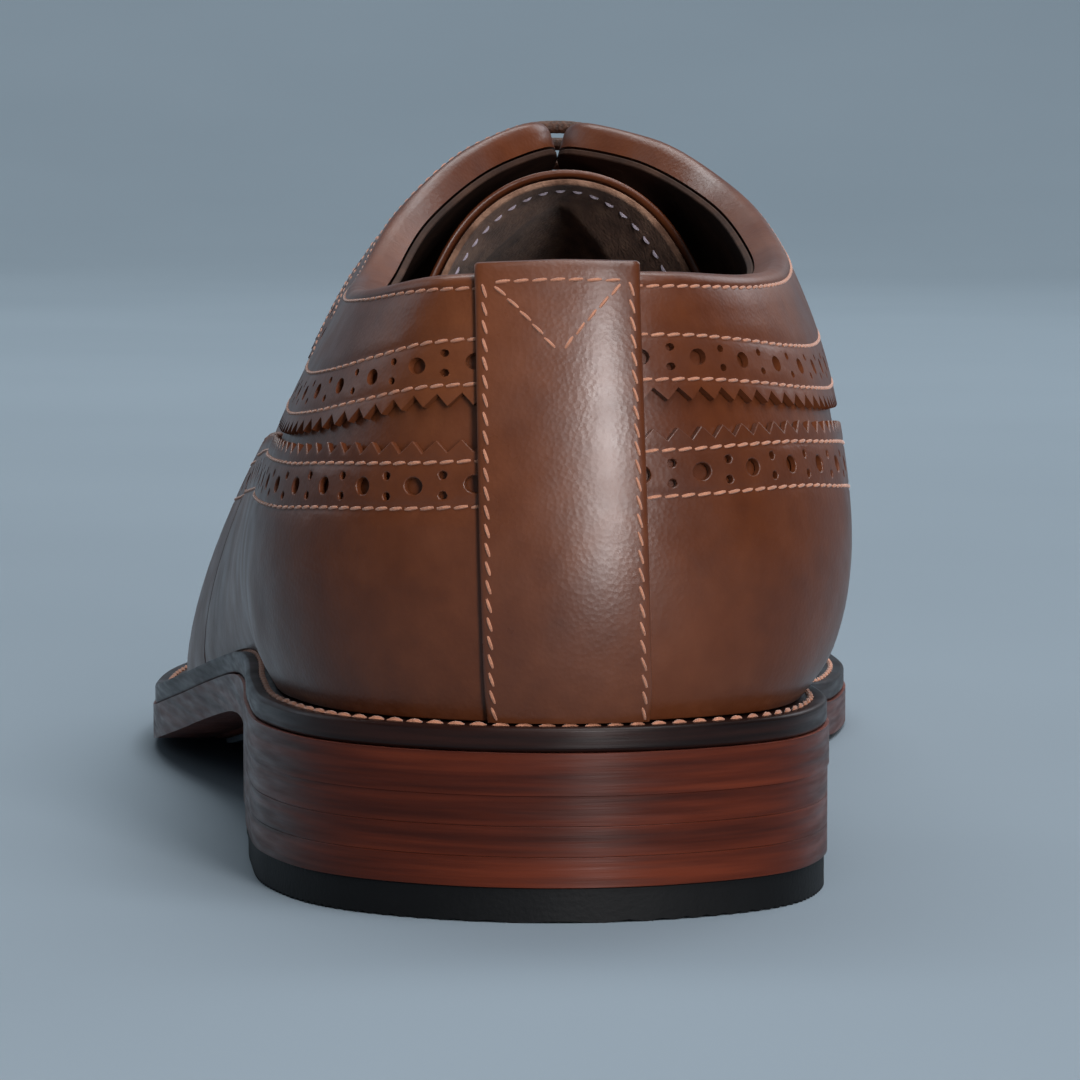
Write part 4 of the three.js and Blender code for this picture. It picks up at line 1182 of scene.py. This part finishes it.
def make_quarter(name, sign):
    q = np.linspace(0, 1, 40)
    front = spaced(np.stack([sign * vamp_seam(q), q], -1), FOOT_PITCH)
    top = topline(sign, HALF_SEAM, VAMP_SEAM_HIGH, ROLL + 0.6)
    front = front[front[:, 1] < top[-1, 1] - 0.005]
    foot = straight((sign * HALF_SEAM, 0), tuple(front[0]), FOOT_PITCH)
    back = straight(tuple(top[0]), (sign * HALF_SEAM, 0), BACK_PITCH)
    loop = np.vstack([foot[:-1], front, spaced(top, 2)[::-1][:-1], back[:-1]])
    leather_panel(f"quarter_{name}", [([loop, *eyelet_holes(sign)], [])],
                  layer(BASE[0], QUARTER_FACE), UPPER)


def make_quarter_lining(name, sign):
    start, end = sign * HALF_SEAM, sign * VAMP_SEAM_HIGH
    loop = joined(straight((start, 0), (end, 0), FOOT_PITCH),
                  straight((end, 0), (end, 1), BACK_PITCH),
                  straight((end, 1), (start, 1), RIDGE_PITCH),
                  straight((start, 1), (start, 0), BACK_PITCH))
    piece = leather_panel(f"quarter_lining_{name}", [([loop, *eyelet_holes(sign)], [])],
                          layer(*LINING), SHADE_DARKENED_LINING, 3, f"lining_{name}_leather")
    rounded(piece, 0.2)


def strip_half(q):
    """Half width of the back strip along the sole edge; it looks parallel on the curved heel."""
    return BACK_STRIP_HALF * (1 + STRIP_FLARE * q ** STRIP_FLARE_POWER)


def strip_u(across, q):
    """The u of a place on the back strip, across it from -1 to 1."""
    return (across * strip_half(q) - STRIP_LEAN * (1 - q)) / HALF_LENGTH


def strip_face(across):
    """Distance of the strip's face from the last, with its edges worn round."""
    edge = np.clip((np.abs(across) - 1 + STRIP_WORN) / STRIP_WORN, 0, 1)
    return STRIP[1] + STRIP_CROWN * (1 - across ** 2) - STRIP_WEAR * edge ** 2


def make_back_strip():
    """The strip over the back seam: crowned, with its top end folded over the topline."""
    edge = np.array([0.9, 0.95, 0.985, 1])
    widths = np.concatenate([-edge[::-1], np.linspace(-0.82, 0.82, 25), edge])
    q = np.linspace(0, 1, 70)[:, None]
    u = strip_u(widths, q)
    q = np.broadcast_to(q, u.shape)
    outer = upper_point(u, q, strip_face(widths))
    inner = upper_point(u, q, STRIP[0])
    top_normal = stack_direction(u[-1], q[-1])
    reach = (STRIP[1] - LINING[1]) / 2
    folds = []
    for angle in np.linspace(0, math.pi, 9)[1:]:
        back = (1 - math.cos(angle)) * reach
        lift = math.sin(angle) * UP
        folds.append((outer[-1] - top_normal * back + lift,
                      inner[-1] - top_normal * min(back, reach) * 0.9 + lift * 0.35))
    outer, inner = (np.vstack([skin.reshape(-1, 3), *fold])
                    for skin, fold in zip((outer, inner), zip(*folds)))
    vertices, faces = closed_skin(outer, inner, grid_faces(len(outer) // len(widths), len(widths)))
    new_object("back_strip_leather", vertices, faces, STRIP_LEATHER, "back_strip")
    return strip_rows()


def strip_rows():
    """Stitches of the back strip: both sides, the top and the V below it."""
    def face(u, q):
        across = (u * HALF_LENGTH + STRIP_LEAN * (1 - q)) / strip_half(q)
        return strip_face(across) + 0.05

    q = q_below_top(np.zeros(90), np.linspace(STRIP_TOP_ROW, STRIP_ROW_END, 90))
    side_row = 1 - STRIP_ROW_INSET / BACK_STRIP_HALF
    lines = [(np.full(len(q), side * side_row), q, 0.3) for side in (-1, 1)]
    lines.append((np.linspace(-STRIP_V_HALF, STRIP_V_HALF, 40), np.full(40, q[0]), 0.1))
    v_q = q_below_top(np.zeros(30), np.linspace(STRIP_TOP_ROW + 0.4, STRIP_V_DEPTH, 30))
    lines += [(np.linspace(side * STRIP_V_HALF, side * 0.05, 30), v_q, 0.1) for side in (-1, 1)]
    return [stitch_row(np.stack([strip_u(across, q), q], -1), face, STRIP[1], lean)
            for across, q, lean in lines]


# ---------------------------------------------------------------- tongue
def tongue_point(v, t, distance):
    """Points of the tongue: v from its root (0) to its free end (1), t across from -1 to 1."""
    p = lerp(TONGUE_ROOT, TONGUE_TURN, np.minimum(v / TONGUE_TURN_AT, 1))
    beyond = np.clip((v - TONGUE_TURN_AT) / (1 - TONGUE_TURN_AT), 0, 1)[..., None]
    width = TONGUE_SPREAD * lerp(0.85, 1, smoothstep(v, 0, 0.6))
    u = p * np.where(t < 0, -1, 1)
    under = upper_point(u, q_below_top(u, np.abs(t) * width), distance)
    end = TONGUE_END
    angle = t * end["turn"]
    outside = distance - TONGUE[1]
    arch = np.stack([end["x"] + (end["half_width"] + outside) * np.sin(angle),
                     from_heel(end["s"] + end["corner"] * t ** 4),
                     end["z"] + (end["height"] + outside) * np.cos(angle)], -1)
    return lerp(under, arch, beyond)


def smoothed_middle(points):
    """Softens the ridge along the middle of a grid of the tongue."""
    for _ in range(TONGUE_SMOOTHING):
        points[:, 1:-1] = (points[:, :-2] + 2 * points[:, 1:-1] + points[:, 2:]) / 4
    return points


def make_tongue():
    """The tongue and its suede lining, each with a stitch row near its free end."""
    v, t = np.meshgrid(np.linspace(0, 1, 60), np.linspace(-1, 1, 49), indexing="ij")
    rows = []
    for node, (near, far), material, width in (("tongue", TONGUE, UPPER, 0.4),
                                               ("tongue_lining", TONGUE_LINING, SUEDE, 0.25)):
        outer, inner = (smoothed_middle(tongue_point(v, t, distance)) for distance in (far, near))
        vertices, faces = closed_skin(outer.reshape(-1, 3), inner.reshape(-1, 3), grid_faces(*v.shape))
        piece = new_object(f"{node}_leather", vertices, faces, material, node, "tongue")
        rounded(piece, width, 3)
        shown, hidden = (outer, inner) if node == "tongue" else (inner, outer)
        rows.append(tongue_row(shown[TONGUE_ROW], shown[TONGUE_ROW] - hidden[TONGUE_ROW]))
    stitches("tongue_stitches", rows, *TONGUE_STITCH, PALE_THREAD, "tongue")


def tongue_row(points, normals):
    """Stitch row along one cross-line of the tongue's grid, without its two ends."""
    points, normals = points[2:-2], unit(normals[2:-2])
    run = run_along(points)
    at = np.arange(TONGUE_ROW_START, run[-1], TONGUE_STITCH_PITCH)
    normals = unit(points_at(at, run, normals))
    return points_at(at, run, points) + 0.05 * normals, normals, 0.1


# ---------------------------------------------------------------- heel and sole
def edge_line(inset, start=-1.0, end=1.0, steps=360):
    """Points (x, y) of the sole edge drawn in by an inset."""
    u = np.linspace(start, end, steps + 1)
    return sole_edge(u) - outward(u) * inset


def plate(name, node, loops, creases, bottom, top, material, spacing=6.0):
    """Flat-lying body between two height functions of (x, y)."""
    places, faces = triangulated(loops, creases, spacing)
    upper, lower = (raised(places, height(*places.T)) for height in (top, bottom))
    vertices, faces = closed_skin(upper, lower, faces.tolist())
    return new_object(name, vertices, faces, material, node)


def dress_sides(piece, material):
    """Gives the upright faces of a piece a second material."""
    piece.data.materials.append(material)
    for face in piece.data.polygons:
        face.material_index = int(abs(face.normal.z) < 0.5)


def level(height):
    """Height function of (x, y) that is the same all over."""
    return lambda x, y: np.full(x.shape, float(height))


def profile(function, shift=0.0):
    """Height function of (x, y) from one of the distance from the back of the heel."""
    return lambda x, y: function(from_heel(y)) + shift


def bowed(start, end, depth):
    """Points between two ends of a line that bows towards the heel."""
    t = np.linspace(0, 1, 30)[1:-1, None]
    line = lerp(start, end, t)
    line[:, 1:] += depth * 4 * t * (1 - t)
    return line


def heel_loop(inset):
    """Outline of the heel, drawn in by an inset."""
    corners = []
    for sign in (-1, 1):
        u = np.linspace(0, 0.5, 4001)
        y = sole_edge(u * sign)[:, 1]
        corners.append(sign * u[np.argmax(y <= from_heel(HEEL_LENGTH))])
    rim = edge_line(inset, *corners, 150)
    return np.vstack([rim, bowed(rim[-1], rim[0], BREAST_BOW)])


def nail_holes():
    """Round holes for the nails, as loops of (x, y)."""
    turn = np.linspace(0, 2 * math.pi, 25)[:-1]
    hole = NAIL_HOLE_RADIUS * np.stack([np.cos(turn), np.sin(turn)], -1)
    return [hole + (x, from_heel(distance)) for distance, x in HEEL_NAILS]


def make_heel_nails():
    """Brass nails with low domed heads at the underside of the heel."""
    dome = [(NAIL_RADIUS * math.sin(a), NAIL_SUNK + NAIL_DOME * (1 - math.cos(a)))
            for a in np.linspace(0.25, math.pi / 2, 6)]
    outline = [(0, NAIL_SUNK), *dome, (NAIL_TIP_RADIUS, NAIL_TIP - NAIL_TAPER), (0, NAIL_TIP)]
    for i, (distance, x) in enumerate(HEEL_NAILS):
        revolved(f"heel_nail_{i + 1}_brass", f"heel_nail_{i + 1}", outline,
                 (x, from_heel(distance), 0), UP, NAIL_BRASS, sides=24)


def make_heel():
    """Stacked leather lifts over a rubber top lift, whose underside is ribbed across."""
    for i in range(LEATHER_LIFTS):
        bottom = TOP_LIFT + (LEATHER_LIFTS - 1 - i) * LIFT_PITCH
        holes = nail_holes() if i == LEATHER_LIFTS - 1 else []
        node = f"heel_lift_{i + 1}"
        piece = plate(f"{node}_leather", node, [heel_loop(LIFT_INSET)] + holes, [],
                      level(bottom), level(bottom + LIFT_PITCH - LIFT_GAP), HEEL_LEATHER,
                      spacing=12)
        rounded(piece, LIFT_ROUNDING)
    loop = heel_loop(TOP_LIFT_INSET)
    low, high = loop.min(0), loop.max(0)
    first_rib = low[1] + RIB_START
    lines = [np.array([(low[0] - 1, y), (high[0] + 1, y)])
             for y in np.arange(first_rib, high[1] - RIB_START / 2, RIB_PITCH / 2)]

    def ribbed(x, y):
        return RIB_DEPTH * 2 * np.abs(((y - first_rib) / RIB_PITCH + 0.5) % 1 - 0.5)

    plate("top_lift_rubber", "top_lift", [loop] + nail_holes(), lines, ribbed,
          level(TOP_LIFT - TOP_LIFT_GAP), HEEL_RUBBER, spacing=30)


def insert_outline(margin=0.0):
    """Outline of the forefoot rubber, grown by a margin."""
    inset = INSERT_INSET - margin
    start = INSERT_START - margin / HALF_LENGTH
    round_toe = edge_line(inset, start, 1, 120)
    inner = edge_line(inset, -1, -start, 120)[1:]
    return np.vstack([round_toe, inner, bowed(inner[-1], round_toe[0], INSERT_BOW)])


def distance_to(points):
    """Function of (x, y) that gives the distance to the nearest of the points."""
    tree = tree_of(points)
    return lambda x, y: distances(tree, np.stack([x, y], -1))


def closed(line):
    """The line with its first point again at its end."""
    return np.vstack([line, line[:1]])


def make_outsole():
    """The outsole, with its stitch channel and the pocket of the forefoot rubber."""
    channel = [edge_line(CHANNEL_INSET + shift, sign * CHANNEL_START, sign * CHANNEL_END, 300)
               for sign in (1, -1) for shift in (-CHANNEL_HALF, 0, CHANNEL_HALF)]
    dense = np.vstack([edge_line(CHANNEL_INSET, sign * CHANNEL_START, sign, 900) for sign in (1, -1)])
    from_channel = distance_to(dense)
    pocket = [closed(insert_outline(GAP - shift)) for shift in (0, POCKET_WALL)]
    pocket_middle = insert_outline(GAP - POCKET_WALL / 2)

    def underside(x, y):
        in_pocket = is_inside(np.stack([x, y], -1), [pocket_middle])
        groove = CHANNEL_DEPTH * np.clip(1 - from_channel(x, y) / CHANNEL_HALF, 0, 1)
        return sole_bottom(from_heel(y)) + np.where(in_pocket, INSERT_DEPTH + GAP, groove)

    outsole = plate("outsole_leather", "outsole", [edge_line(0)[:-1]], channel + pocket, underside,
                    profile(sole_top, -0.1), SOLE_LEATHER, spacing=4)
    dress_sides(outsole, HEEL_LEATHER)


def turned(points, angle):
    """Points (x, y) turned about the origin."""
    c, s = math.cos(angle), math.sin(angle)
    return np.asarray(points) @ np.array([[c, s], [-s, c]])


def on_tread(points, outline):
    """Whether points lie in the patterned parts, beside the plain strip along the middle."""
    middle_x = (outline[:, 0].min() + outline[:, 0].max()) / 2
    return is_inside(points, [outline]) & (np.abs(points[:, 0] - middle_x) > TREAD_STRIP_HALF)


def hexagon(centre, size):
    """Corners of a six-sided cell, its size given as a part of the whole cell."""
    turn = math.pi / 6 + np.arange(6) * math.pi / 3
    corners = size * CELL / math.sqrt(3) * np.stack([np.cos(turn), np.sin(turn)], -1)
    return np.asarray(centre) + turned(corners, BAR_TURN)


def tread_centres(outline):
    """Middles of the six-sided blocks: two rows between each pair of slanting grooves."""
    row_pitch = CELL * math.sqrt(3) / 2
    grid = []
    for start in bar_starts():
        for row in (0, 1):
            across = start + BAR_PITCH / 2 + (row - 0.5) * row_pitch
            grid += [(along + row * CELL / 2, across)
                     for along in np.arange(-LENGTH / 2, LENGTH / 2, CELL)]
    centres = turned(grid, BAR_TURN)
    is_kept = on_tread(centres, outline)
    for corner in hexagon((0, 0), 1.0):
        is_kept &= on_tread(centres + corner, outline)
    return centres[is_kept]


def bar_starts():
    """Distances of the slanting grooves from the middle of the sole."""
    count = LENGTH / 2 // BAR_PITCH + 1
    return np.arange(-count, count) * BAR_PITCH


def tread_bars(outline):
    """Lines of the slanting grooves, broken where they leave the patterned parts."""
    along = np.arange(-LENGTH / 2, LENGTH / 2, 1.0)
    lines = []
    for start in bar_starts():
        for shift in (-BAR_HALF, -BAR_FOOT, BAR_FOOT, BAR_HALF):
            points = turned(np.stack([along, np.full(along.shape, start + shift)], -1), BAR_TURN)
            is_on = on_tread(points, outline)
            breaks = np.flatnonzero(np.diff(is_on.astype(int))) + 1
            runs = zip(np.split(points, breaks), np.split(is_on, breaks))
            lines += [run for run, on in runs if on[0] and len(run) > 2]
    return lines


def make_tread():
    """Forefoot rubber with six-sided blocks and slanting grooves on both sides of a plain strip."""
    outline = insert_outline(-TREAD_MARGIN)
    centres = tread_centres(outline)
    tree = tree_of(centres)

    def underside(x, y):
        places = np.stack([x, y], -1)
        away = np.abs(turned(places - centres[nearest(tree, places)], -BAR_TURN))
        size = 2 / CELL * np.maximum(away[:, 0], away[:, 0] / 2 + away[:, 1] * math.sqrt(3) / 2)
        is_groove = (size > CELL_FACE + CELL_SLACK) & (size < 1 + CELL_SLACK / 2)
        from_bar = turned(places, -BAR_TURN)[:, 1] / BAR_PITCH
        from_bar = np.abs(from_bar - np.round(from_bar)) * BAR_PITCH
        is_bar = (from_bar < (BAR_FOOT + BAR_HALF) / 2) & on_tread(places, outline)
        return sole_bottom(from_heel(y)) - RUBBER_PROUD + TREAD_DEPTH * (is_groove | is_bar)

    blocks = [closed(hexagon(centre, size)) for centre in centres for size in (CELL_FACE, CELL_FOOT)]
    plate("forefoot_tread", "forefoot_rubber", [insert_outline()], tread_bars(outline) + blocks,
          underside, profile(sole_bottom, INSERT_DEPTH), TREAD_RUBBER, spacing=2.5)


def make_welt():
    """The welt, with a stitch row that lies in a shallow groove round the shoe."""
    from_row = distance_to(edge_line(WELT_ROW_INSET, steps=1400))

    def top(x, y):
        nearness = np.clip(1 - from_row(x, y) / WELT_GROOVE_HALF, 0, 1)
        return feather(from_heel(y)) - WELT_GROOVE * nearness

    groove = [edge_line(WELT_ROW_INSET + shift) for shift in (-WELT_GROOVE_HALF, 0, WELT_GROOVE_HALF)]
    welt = plate("welt_leather", "welt", [edge_line(GAP)[:-1], edge_line(WELT_WIDTH)[:-1]], groove,
                 profile(sole_top), top, WELT_LEATHER, spacing=5)
    rounded(welt, WELT_ROUNDING, 3)
    places = edge_line(WELT_ROW_INSET, steps=int(2 * HALF_LENGTH / WELT_STITCH_PITCH))
    points = raised(places, feather(from_heel(places[:, 1])) + 0.02)
    row = (points, np.tile(UP, (len(points), 1)), WELT_STITCH_LEAN)
    stitches("welt_stitches", [row], *WELT_STITCH, THREAD)


# ---------------------------------------------------------------- lacing
def make_eyelets():
    """Brass eyelets with a broad flange inside the shoe and a barrel through the facing."""
    flange, barrel, bore = EYELET_RADII
    outline = [(bore, EYELET_LOW), (flange, EYELET_LOW), (flange, EYELET_LOW + FLANGE),
               (barrel, EYELET_LOW + FLANGE), (barrel, EYELET_HIGH), (bore, EYELET_HIGH)]
    for name, sign in SIDES.items():
        for row, p in enumerate(EYELET_ROWS):
            u = p * sign
            q = q_below_top(u, EYELET_INSET)
            node = f"eyelet_{name}_{row + 1}"
            piece = revolved(f"{node}_brass", node, outline, last_point(u, q), stack_direction(u, q),
                             EYELET_BRASS)
            rounded(piece, 0.12)


def lace_point(row, sign, distance, inset=EYELET_INSET):
    """Place on the lace's way: an eyelet row, a side, a distance from the last and an inset."""
    last_row = len(EYELET_ROWS) - 1
    p = np.interp(row, range(len(EYELET_ROWS)), EYELET_ROWS)
    p += max(row - last_row, 0) * (EYELET_ROWS[-1] - EYELET_ROWS[-2])
    return upper_point(p * sign, q_below_top(p * sign, inset), distance)


def lace_bar(row, from_sign):
    """Out of one eyelet, straight across the facings and into the eyelet opposite."""
    over = ((EYELET_INSET, LACE_IN + 0.4), (EYELET_INSET, 2.5), (EYELET_INSET, LACE_OUT - 0.9),
            (EYELET_INSET - 2, LACE_OUT), (5, LACE_OUT), (1.5, LACE_OUT))
    rising, falling = ([lace_point(row, sign, distance, inset) for inset, distance in over]
                       for sign in (from_sign, -from_sign))
    return rising + falling[::-1]


def lace_run(from_row, to_row, sign, shift):
    """Inside run between two rows of one side, kept clear of the row it passes."""
    return [lace_point(lerp(from_row, to_row, t), sign, LACE_IN, EYELET_INSET + shift)
            for t in np.linspace(0.22, 0.78, 4)]


def lace_tail(row, sign):
    """Loose end tucked down beside the tongue."""
    return [lace_point(row + down, sign, LACE_IN, EYELET_INSET + shift)
            for down, shift in ((0.35, 1.5), (0.8, 4.5), (1.3, 8), (1.8, 10.5))]


def make_lace():
    """One plaited round lace, through all the eyelets, with its ends inside the shoe."""
    route = (lace_tail(0, 1)[::-1]
             + lace_bar(0, 1) + lace_run(0, 2, -1, 2.6) + lace_bar(2, -1) + lace_run(2, 4, 1, 2.6)
             + lace_bar(4, 1) + lace_run(4, 3, -1, -1.2) + lace_bar(3, -1) + lace_run(3, 1, 1, -2.6)
             + lace_bar(1, 1) + lace_tail(1, -1))
    route = np.array([2 * route[0] - route[1], *route, 2 * route[-1] - route[-2]])
    last = len(route) - 2
    curve = spline(route, np.linspace(1, last, SPLINE_STEPS * (last - 1) + 1))
    run = run_along(curve)
    at = np.linspace(0, run[-1], int(run[-1] / LACE_RING_STEP) + 1)
    line = points_at(at, run, curve)
    ahead = unit(np.gradient(line, axis=0))
    side = unit(np.cross(ahead[0], (0.2, 0.1, 1.0)))
    phases = 2 * math.pi * np.arange(LACE_SIDES) / LACE_SIDES
    rings = []
    for middle, along, distance in zip(line, ahead, at):
        side = unit(side - along * side.dot(along))
        wave = 2 * math.pi * distance / PLAIT_PITCH
        strands = np.cos(4 * phases + wave) * np.cos(4 * phases - wave)
        radius = LACE_RADIUS - PLAIT_DEPTH * (0.5 - 0.5 * strands)
        rings.append(ring(middle, side, np.cross(along, side), radius, LACE_SIDES))
    faces = tube_faces(len(rings), LACE_SIDES)
    new_object("lace_plait", np.vstack(rings), faces, LACE_COTTON, "lace")


# ---------------------------------------------------------------- CAD nodes that stay
KEPT = {
    "insole_rib": CANVAS, "cork_filler": CORK, "shank": STEEL,
    "insole": INSOLE_LEATHER, "sock_liner": SOCK_LEATHER, "vamp_lining": SHADE_DARKENED_LINING,
    "counter_stiffener": BOARD, "toe_puff": BOARD, "aglet_1": AGLET,
    "aglet_2": AGLET,
}


def dress_kept_nodes():
    for node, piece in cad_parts.items():
        material = KEPT.get(node)
        if material is not None:
            piece.data.materials.clear()
            piece.data.materials.append(material)


# ---------------------------------------------------------------- floor, light and camera
def make_stage():
    """Round floor whose rim sweeps up into a wall, so that it has no horizon from any side."""
    flat, curve, high, sides = 2.1, 1.5, 3.0, 64
    section = [(flat + curve * math.sin(a), curve * (1 - math.cos(a)))
               for a in np.linspace(0, math.pi / 2, 17)]
    section = [(flat / 2, 0.0), *section, (flat + curve, high)]
    axes = np.eye(3)
    vertices = np.vstack([ring(z * axes[2], axes[0], axes[1], r, sides) for r, z in section])
    faces = [list(range(sides))] + [face[::-1] for face in grid_faces(len(section), sides, True)]
    floor = bpy.data.meshes.new("floor")
    floor.from_pydata(vertices.tolist(), [], faces)
    floor.polygons.foreach_set("use_smooth", [True] * len(floor.polygons))
    s = Surface("floor_paper", roughness=0.9)
    s.colour(s.mix(s.noise(260, 3), (116, 129, 139), (125, 138, 148)))
    floor.materials.append(s.material)
    piece = bpy.data.objects.new("floor", floor)
    bpy.context.scene.collection.objects.link(piece)


def area_light(name, place, target, size, power, colour):
    lamp = bpy.data.lights.new(name, "AREA")
    lamp.shape = "RECTANGLE"
    lamp.size, lamp.size_y = size
    lamp.energy = power
    lamp.color = colour
    piece = bpy.data.objects.new(name, lamp)
    piece.location = place
    piece.rotation_euler = (Vector(target) - Vector(place)).to_track_quat("-Z", "Y").to_euler()
    bpy.context.scene.collection.objects.link(piece)


def make_lights():
    centre = (0, 0.1, 0.04)
    area_light("key_softbox", (-0.42, 1.40, 0.42), centre, (0.26, 0.9), 17, (1.0, 0.97, 0.97))
    area_light("top_softbox", (-0.5, 0.7, 1.7), centre, (1.1, 1.0), 24, (0.97, 0.98, 1.0))
    area_light("side_softbox", (1.3, -0.7, 0.8), centre, (0.9, 0.8), 2, (0.8, 0.9, 1.0))
    area_light("toe_softbox", (-1.0, -1.1, 0.9), centre, (0.9, 0.7), 4, (0.9, 0.95, 1.0))
    area_light("backdrop_light", (0.0, -1.3, 2.2), (0, -2.3, 0.1), (2.4, 1.2), 62, (0.94, 0.98, 1.0))
    area_light("near_wall_light", (0.0, 1.9, 2.4), (0, 3.4, 0.7), (2.4, 0.8), 36, (0.94, 0.98, 1.0))
    world = bpy.data.worlds.new("studio")
    world.use_nodes = True
    background = world.node_tree.nodes["Background"]
    background.inputs["Color"].default_value = (*linear((150, 163, 173)), 1)
    background.inputs["Strength"].default_value = 0.09
    bpy.context.scene.world = world


def make_camera():
    """Camera low behind the heel, a little to the outer side of the shoe's axis."""
    up = Vector(UP)
    heel_back = Vector((-0.005, from_heel(0) * MM, 0))
    axis = Vector((0.0295, -0.9996, 0)).normalized()
    across = axis.cross(up)
    place = heel_back - axis * CAMERA_BEHIND - across * CAMERA_ASIDE + up * CAMERA_HEIGHT
    aim = axis * AIM[0] + across * AIM[1] - up * AIM[2]
    lens = bpy.data.cameras.new("camera")
    lens.sensor_width = 36
    lens.lens = 194
    lens.clip_end = 20
    camera = bpy.data.objects.new("camera", lens)
    camera.location = place
    camera.rotation_euler = aim.to_track_quat("-Z", "Y").to_euler()
    bpy.context.scene.collection.objects.link(camera)
    bpy.context.scene.camera = camera

make_camera()
make_stage()
make_lights()
upper_rows = make_back_strip()
for side_name, side_sign in SIDES.items():
    upper_rows += make_facing(side_name, side_sign)
    upper_rows += make_foxing(side_name, side_sign)
    make_quarter(side_name, side_sign)
    make_quarter_lining(side_name, side_sign)
upper_rows += make_wing_cap()
upper_rows += make_vamp()
stitches("upper_stitches", upper_rows, STITCH_LENGTH, STITCH_RADIUS, THREAD)
make_tongue()
make_heel()
make_heel_nails()
make_outsole()
make_tread()
make_welt()
make_eyelets()
make_lace()
dress_kept_nodes()
bpy.context.scene.view_settings.view_transform = "Standard"
